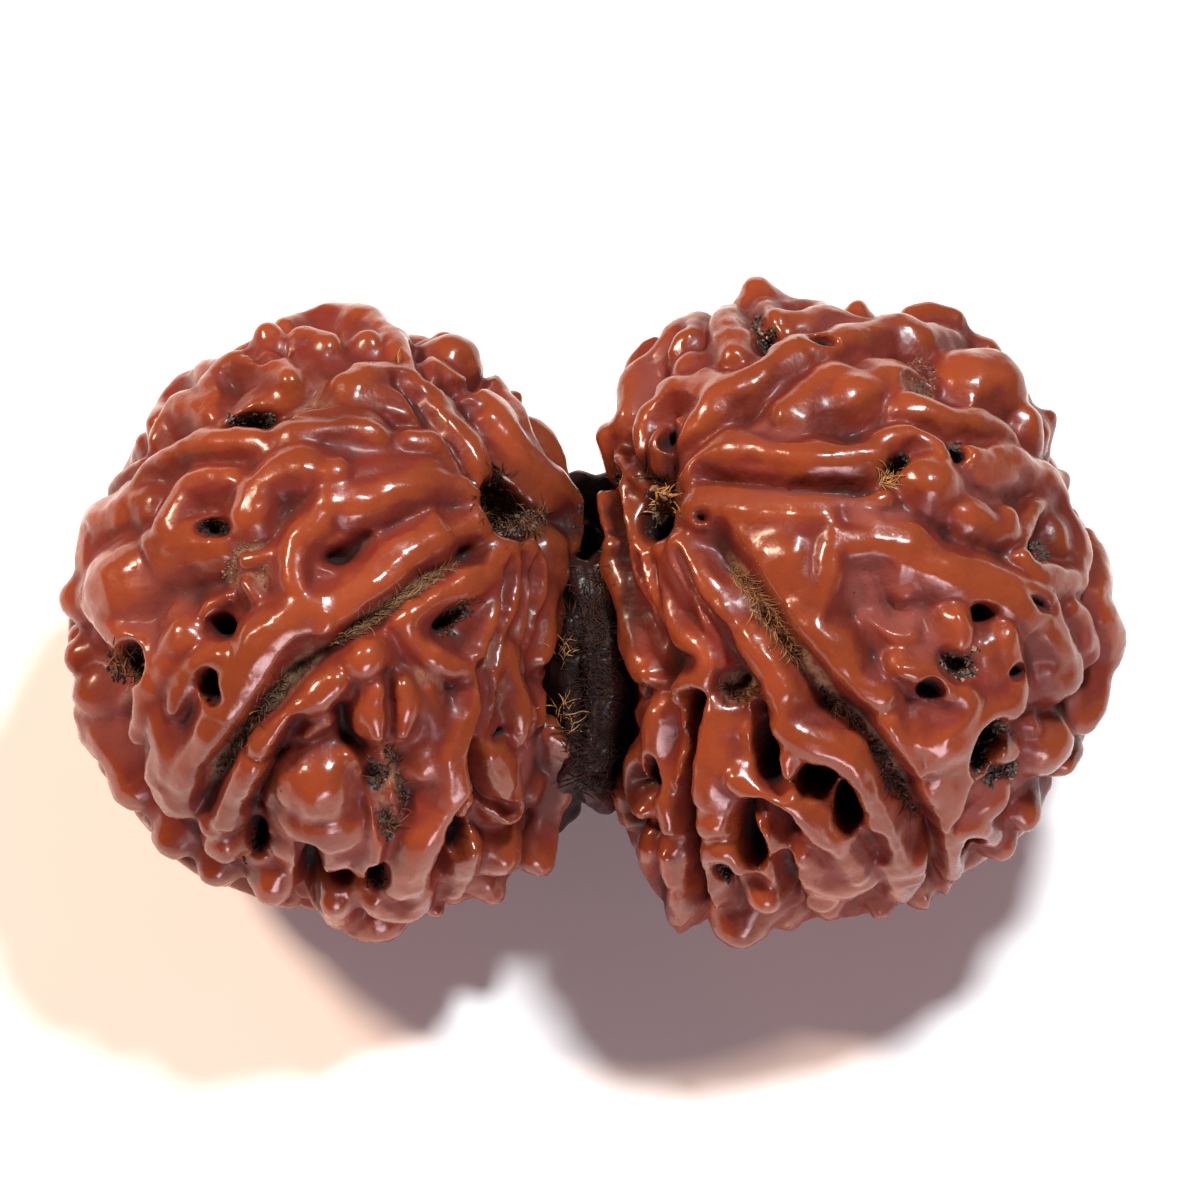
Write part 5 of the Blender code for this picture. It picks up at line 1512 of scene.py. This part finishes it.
def wood_brightness(tree, take, height, blur):
    """Cloudy, with painted shade deep in the flanks and more painted shade in the crevice between the stones.
    """
    cloud = add_noise(tree, take["Place"], CLOUD_SCALE, detail=3.0)
    bright = span(tree, cloud, *MIDDLE_OF_NOISE, *CLOUD_BRIGHTNESS)
    # painted shade: the wood darkens the deeper it lies below the plain body
    flank = span(tree, plus(tree, take["Relief"], blur), *RECESS_SHADE_COMES, *RECESS_SHADE_BRIGHTNESS)
    # painted shade: darker in the low places of the crevice patches
    crevice_shade = times(tree, span(tree, height, *CREVICE_SHADE_COMES, *CREVICE_SHADE_SHARES), take["Dark"])
    return times(tree, times(tree, bright, flank), rest_of(tree, crevice_shade))


def wood_cover_and_painted_light(tree, take, height, blur, mottle, speck):
    """The shares of pink, dust and black over the clean wood: the pink is partly bloom and partly a painted
    reflection on rims and undersides, and the black is partly painted shade in deep clefts.
    """
    pink = times(tree, take["Pink"], span(tree, mottle, *PINK_MOTTLE, *PINK_BY_MOTTLE))
    pink = times(tree, pink, span(tree, height, *PINK_COMES, *PINK_BY_HEIGHT))
    dust = times(tree, take["Dust"], span(tree, height, *DUST_COMES))
    dust = times(tree, dust, span(tree, speck, *DUSTY_SPECK, *DUST_BY_SPECK))
    pit_black_and_shade = times(tree, take["Black"], span(tree, height, *PIT_BLACK_COMES))
    # painted shade: near-black wherever the surface lies deep below its smoothed level
    pit_black_and_shade = larger(tree, pit_black_and_shade, span(tree, plus(tree, take["Broad"], blur), *DEEP_SHADE_COMES))
    return pink, dust, pit_black_and_shade


def grown_wood_group():
    colours = ("Crest", "Slope", "Valley", "Dust Colour", "Pink Colour", "Pit Black And Shade")
    inputs = [("Place", "Vector")] + [(n, "Float") for n in POINT_NUMBERS] + [(c, "Color") for c in colours]
    outputs = [("Colour", "Color"), ("Roughness", "Float"), ("Gloss", "Float"), ("Height", "Float")]
    tree, given, made = new_group("grown wood", inputs, outputs)
    take = given.outputs
    grain = add_noise(tree, take["Place"], GRAIN_SCALE, detail=3.0)
    mottle = add_noise(tree, take["Place"], MOTTLE_SCALE)
    speck = add_noise(tree, take["Place"], SPECK_SCALE, detail=5.0, roughness=0.7)
    dimple = add_noise(tree, take["Place"], DIMPLE_SCALE, detail=2.0, roughness=0.5)
    blur = times(tree, add_math(tree, "SUBTRACT", mottle, 0.5), BLUR)
    height = plus(tree, take["Broad"], blur)
    crest = span(tree, height, *CREST_COMES)
    valley = span(tree, height, *VALLEY_COMES)
    pink, dust, pit_black_and_shade = wood_cover_and_painted_light(tree, take, height, blur, mottle, speck)
    matt = larger(tree, larger(tree, pink, dust), pit_black_and_shade)

    colour = mix_colours(tree, crest, take["Slope"], take["Crest"])
    colour = mix_colours(tree, valley, colour, take["Valley"])
    bright = wood_brightness(tree, take, height, blur)
    colour = add_node(tree, "HueSaturation", {"Color": colour, "Value": bright}).outputs[0]
    for share, overlay in ((pink, "Pink Colour"), (dust, "Dust Colour"), (pit_black_and_shade, "Pit Black And Shade")):
        colour = mix_colours(tree, share, colour, take[overlay])

    rough = mix_numbers(tree, crest, SLOPE_ROUGHNESS, CREST_ROUGHNESS)
    rough = mix_numbers(tree, valley, rough, VALLEY_ROUGHNESS)
    rough = mix_numbers(tree, matt, rough, MATT_ROUGHNESS)
    rough = plus(tree, rough, span(tree, grain, *MIDDLE_OF_NOISE, *GRAIN_ROUGHNESS))
    gloss = times(tree, rest_of(tree, matt), mix_numbers(tree, crest, SLOPE_GLOSS, CREST_GLOSS))

    bumps = plus(tree, times(tree, mottle, MOTTLE_BUMP), times(tree, grain, GRAIN_BUMP))
    bumps = plus(tree, bumps, times(tree, dimple, DIMPLE_BUMP))
    bumps = plus(tree, bumps, times(tree, speck, times(tree, matt, GRIT_BUMP)))
    for name, value in (("Colour", colour), ("Roughness", rough), ("Gloss", gloss), ("Height", bumps)):
        tree.links.new(value, made.inputs[name])
    return tree


GROWN_WOOD = grown_wood_group()
print("grown wood group:", len(GROWN_WOOD.nodes), "nodes")

# %% Stone and neck materials
CREST = (0.185, 0.036, 0.012)
SLOPE = (0.118, 0.017, 0.010)
# valley: the wood's own darker maroon, darkened further as painted shade of the furrows
VALLEY = (0.050, 0.010, 0.008)
DUST = (0.22, 0.12, 0.07)
# pink: a dusty bloom, also used as a painted reflection on rims and undersides
PINK = (0.18, 0.046, 0.036)
# near black: the floors of the black pits, and painted shade in the deepest clefts
PIT_BLACK_AND_SHADE = (0.013, 0.011, 0.011)
# the neck: dark dried tissue, darkened further as painted shade of the crevice between the stones
NECK_CREST = (0.030, 0.009, 0.008)
NECK_SLOPE = (0.011, 0.006, 0.006)
NECK_VALLEY = (0.006, 0.005, 0.005)
GRAIN_HEIGHT = 0.05 * MM
GRAIN_STRENGTH = 0.8
COAT_ROUGHNESS = 0.2
WOOD_SPECULAR = 0.15


def new_material(name):
    """A material with its node tree, its shader and the place on the object."""
    material = bpy.data.materials.new(name)
    material.use_nodes = True
    tree = material.node_tree
    return material, tree, tree.nodes["Principled BSDF"], add_node(tree, "TexCoord").outputs["Object"]


def finish_surface(tree, shader, rough, height, distance, strength):
    bump = add_node(tree, "Bump", {"Height": height, "Distance": distance, "Strength": strength})
    tree.links.new(rough, shader.inputs["Roughness"])
    tree.links.new(bump.outputs["Normal"], shader.inputs["Normal"])


def grown_wood(name, colours, glossy):
    material, tree, shader, place = new_material(name)
    group = add_node(tree, "Group", node_tree=GROWN_WOOD)
    tree.links.new(place, group.inputs["Place"])
    for number in POINT_NUMBERS:
        value = add_node(tree, "Attribute", attribute_name=number.lower()).outputs["Fac"]
        tree.links.new(value, group.inputs[number])
    for socket, colour in colours.items():
        group.inputs[socket].default_value = (*colour, 1.0)
    made = group.outputs
    tree.links.new(made["Colour"], shader.inputs["Base Color"])
    finish_surface(tree, shader, made["Roughness"], made["Height"], GRAIN_HEIGHT, GRAIN_STRENGTH)
    if glossy:
        tree.links.new(made["Gloss"], shader.inputs["Coat Weight"])
    shader.inputs["Coat Roughness"].default_value = COAT_ROUGHNESS
    shader.inputs["Specular IOR Level"].default_value = WOOD_SPECULAR
    return material


COVERS_AND_PAINTED_LIGHT = {"Dust Colour": DUST, "Pink Colour": PINK, "Pit Black And Shade": PIT_BLACK_AND_SHADE}
STONE_COLOURS = {"Crest": CREST, "Slope": SLOPE, "Valley": VALLEY, **COVERS_AND_PAINTED_LIGHT}
NECK_COLOURS = {"Crest": NECK_CREST, "Slope": NECK_SLOPE, "Valley": NECK_VALLEY, **COVERS_AND_PAINTED_LIGHT}
STONE_WOOD = grown_wood("stone wood", STONE_COLOURS, True)
NECK_TISSUE = grown_wood("neck tissue", NECK_COLOURS, False)

# %% [markdown]
# ## Fibres and crumbs
# A dried fibre goes from almost black to straw, and a crumb may also be grey green. One ramp over
# the shade that each of them carries gives the colour, and a little noise breaks it up.

# %% Scrap materials
FIBRE_SHADES = ((0.0, (0.014, 0.008, 0.006)), (0.3, (0.075, 0.026, 0.014)), (0.55, (0.26, 0.13, 0.06)),
                (0.75, (0.50, 0.25, 0.075)), (1.0, (0.62, 0.47, 0.30)))
CRUMB_SHADES = ((0.0, (0.010, 0.009, 0.010)), (0.12, (0.035, 0.022, 0.018)), (0.32, (0.085, 0.09, 0.08)),
                (0.5, (0.22, 0.12, 0.07)), (0.75, (0.36, 0.24, 0.15)), (1.0, (0.55, 0.50, 0.43)))


STREAK_SCALE = 4200.0
STREAK_SHADE = 0.06
STREAK_ROUGHNESS = 0.12
STREAK_HEIGHT = 0.03 * MM
STREAK_STRENGTH = 0.7
SCRAP_SPECULAR = 0.1


def scrap_material(name, shades, roughness):
    material, tree, shader, place = new_material(name)
    shade = add_node(tree, "Attribute", attribute_name="shade").outputs["Fac"]
    streak = add_noise(tree, place, STREAK_SCALE, detail=3.0)
    value = plus(tree, shade, span(tree, streak, *MIDDLE_OF_NOISE, -STREAK_SHADE, STREAK_SHADE))
    tree.links.new(add_ramp(tree, value, shades), shader.inputs["Base Color"])
    rough = span(tree, streak, *MIDDLE_OF_NOISE, roughness - STREAK_ROUGHNESS, roughness + STREAK_ROUGHNESS)
    finish_surface(tree, shader, rough, streak, STREAK_HEIGHT, STREAK_STRENGTH)
    shader.inputs["Specular IOR Level"].default_value = SCRAP_SPECULAR
    return material


FIBRE = scrap_material("dried fibre", FIBRE_SHADES, 0.55)
CRUMB = scrap_material("pulp crumb", CRUMB_SHADES, 0.75)

# %% [markdown]
# ## Putting it on the measured part
# The part has one node, and the five pieces stand for it together. They all ride on its one body.

# %% Dress the part
PIECES = {left_stone: STONE_WOOD, right_stone: STONE_WOOD, neck: NECK_TISSUE,
          fibres: FIBRE, crumbs: CRUMB}
for piece, material in PIECES.items():
    piece.data.materials.clear()
    piece.data.materials.append(material)
    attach(piece, "root")
    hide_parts("fused_stones")
print([(piece.name, len(piece.data.polygons)) for piece in PIECES])

# %% [markdown]
# ## Floor, light and camera
# The stones lie on a plain white surface. A lamp up on the right behind them gives the streaks on
# the ridges and throws a shadow to the lower left. A warm lamp from the left crosses it, so where
# only the first one is blocked the shadow turns peach. A low lamp in front lights the flanks, and a
# pale sky fills the rest. The camera is a long way off with a long lens, which sees the stones just
# as they are drawn.

# %% Floor and light
FLOOR_SIZE = 0.6
CARD_WHITES = ((0.3, (0.86, 0.85, 0.84)), (0.7, (0.90, 0.89, 0.88)))
CARD_CLOUD_SCALE = 40.0
CARD_GRAIN_SCALE = 2500.0
CARD_GRAIN_HEIGHT = 0.01 * MM
CARD_GRAIN_STRENGTH = 0.3
CARD_ROUGHNESS = (0.55, 0.65)

# Each lamp: place, size, power and colour
KEY = ((0.08, 0.07, 0.27), 0.045, 1.05, (0.93, 0.97, 1.0))
SECOND = ((-0.21, 0.06, 0.25), 0.055, 1.4, (1.0, 0.72, 0.54))
FRONT = ((0.06, -0.28, 0.08), 0.12, 0.62, (1.0, 0.78, 0.86))
SKY = ((1.0, 0.9, 0.95, 1.0), 0.05)


def make_floor():
    bm = bmesh.new()
    bmesh.ops.create_grid(bm, x_segments=1, y_segments=1, size=FLOOR_SIZE / 2)
    mesh = bpy.data.meshes.new("floor")
    bm.to_mesh(mesh)
    bm.free()
    material, tree, shader, place = new_material("white card")
    cloud = add_noise(tree, place, CARD_CLOUD_SCALE)
    grain = add_noise(tree, place, CARD_GRAIN_SCALE)
    rough = span(tree, cloud, *MIDDLE_OF_NOISE, *CARD_ROUGHNESS)
    tree.links.new(add_ramp(tree, cloud, CARD_WHITES), shader.inputs["Base Color"])
    finish_surface(tree, shader, rough, grain, CARD_GRAIN_HEIGHT, CARD_GRAIN_STRENGTH)
    mesh.materials.append(material)
    floor = link_to_scene("floor", mesh)


def add_lamp(name, lamp):
    place, size, power, colour = lamp
    light = bpy.data.lights.new(name, "AREA")
    light.shape = "DISK"
    light.size = size
    light.energy = power
    light.color = colour
    thing = link_to_scene(name, light)
    thing.location = place
    aim = Vector((0, 0, MIDDLE_HEIGHT)) - thing.location
    thing.rotation_euler = aim.to_track_quat("-Z", "Y").to_euler()


def make_sky():
    world = bpy.data.worlds.new("sky")
    world.use_nodes = True
    background = world.node_tree.nodes["Background"]
    background.inputs["Color"].default_value, background.inputs["Strength"].default_value = SKY
    bpy.context.scene.world = world


make_floor()
for name, lamp in (("key", KEY), ("second", SECOND), ("front", FRONT)):
    add_lamp(name, lamp)
make_sky()
bpy.context.scene.view_settings.view_transform = "Standard"

# %% Camera
FRAME_UNITS = 1200
FRAME_MIDDLE = (600, 600)
CAMERA_DISTANCE = 1.0
CAMERA_CLIPS = (0.05, 10.0)
SENSOR = 36.0


def make_camera():
    data = bpy.data.cameras.new("camera")
    data.sensor_width = SENSOR
    data.lens = SENSOR * CAMERA_DISTANCE / (FRAME_UNITS * PIXEL)
    data.clip_start, data.clip_end = CAMERA_CLIPS
    across = (FRAME_MIDDLE[0] - PICTURE_CENTRE[0]) * PIXEL
    rise = (PICTURE_CENTRE[1] - FRAME_MIDDLE[1]) * PIXEL
    aim = np.array((0, 0, MIDDLE_HEIGHT)) + across * RIGHT + rise * UP
    camera = link_to_scene("camera", data)
    camera.location = aim + TOWARD * CAMERA_DISTANCE
    camera.rotation_euler = Vector(-TOWARD).to_track_quat("-Z", "Y").to_euler()
    bpy.context.scene.camera = camera
    print("lens", round(data.lens), "mm at", CAMERA_DISTANCE, "m")


make_camera()
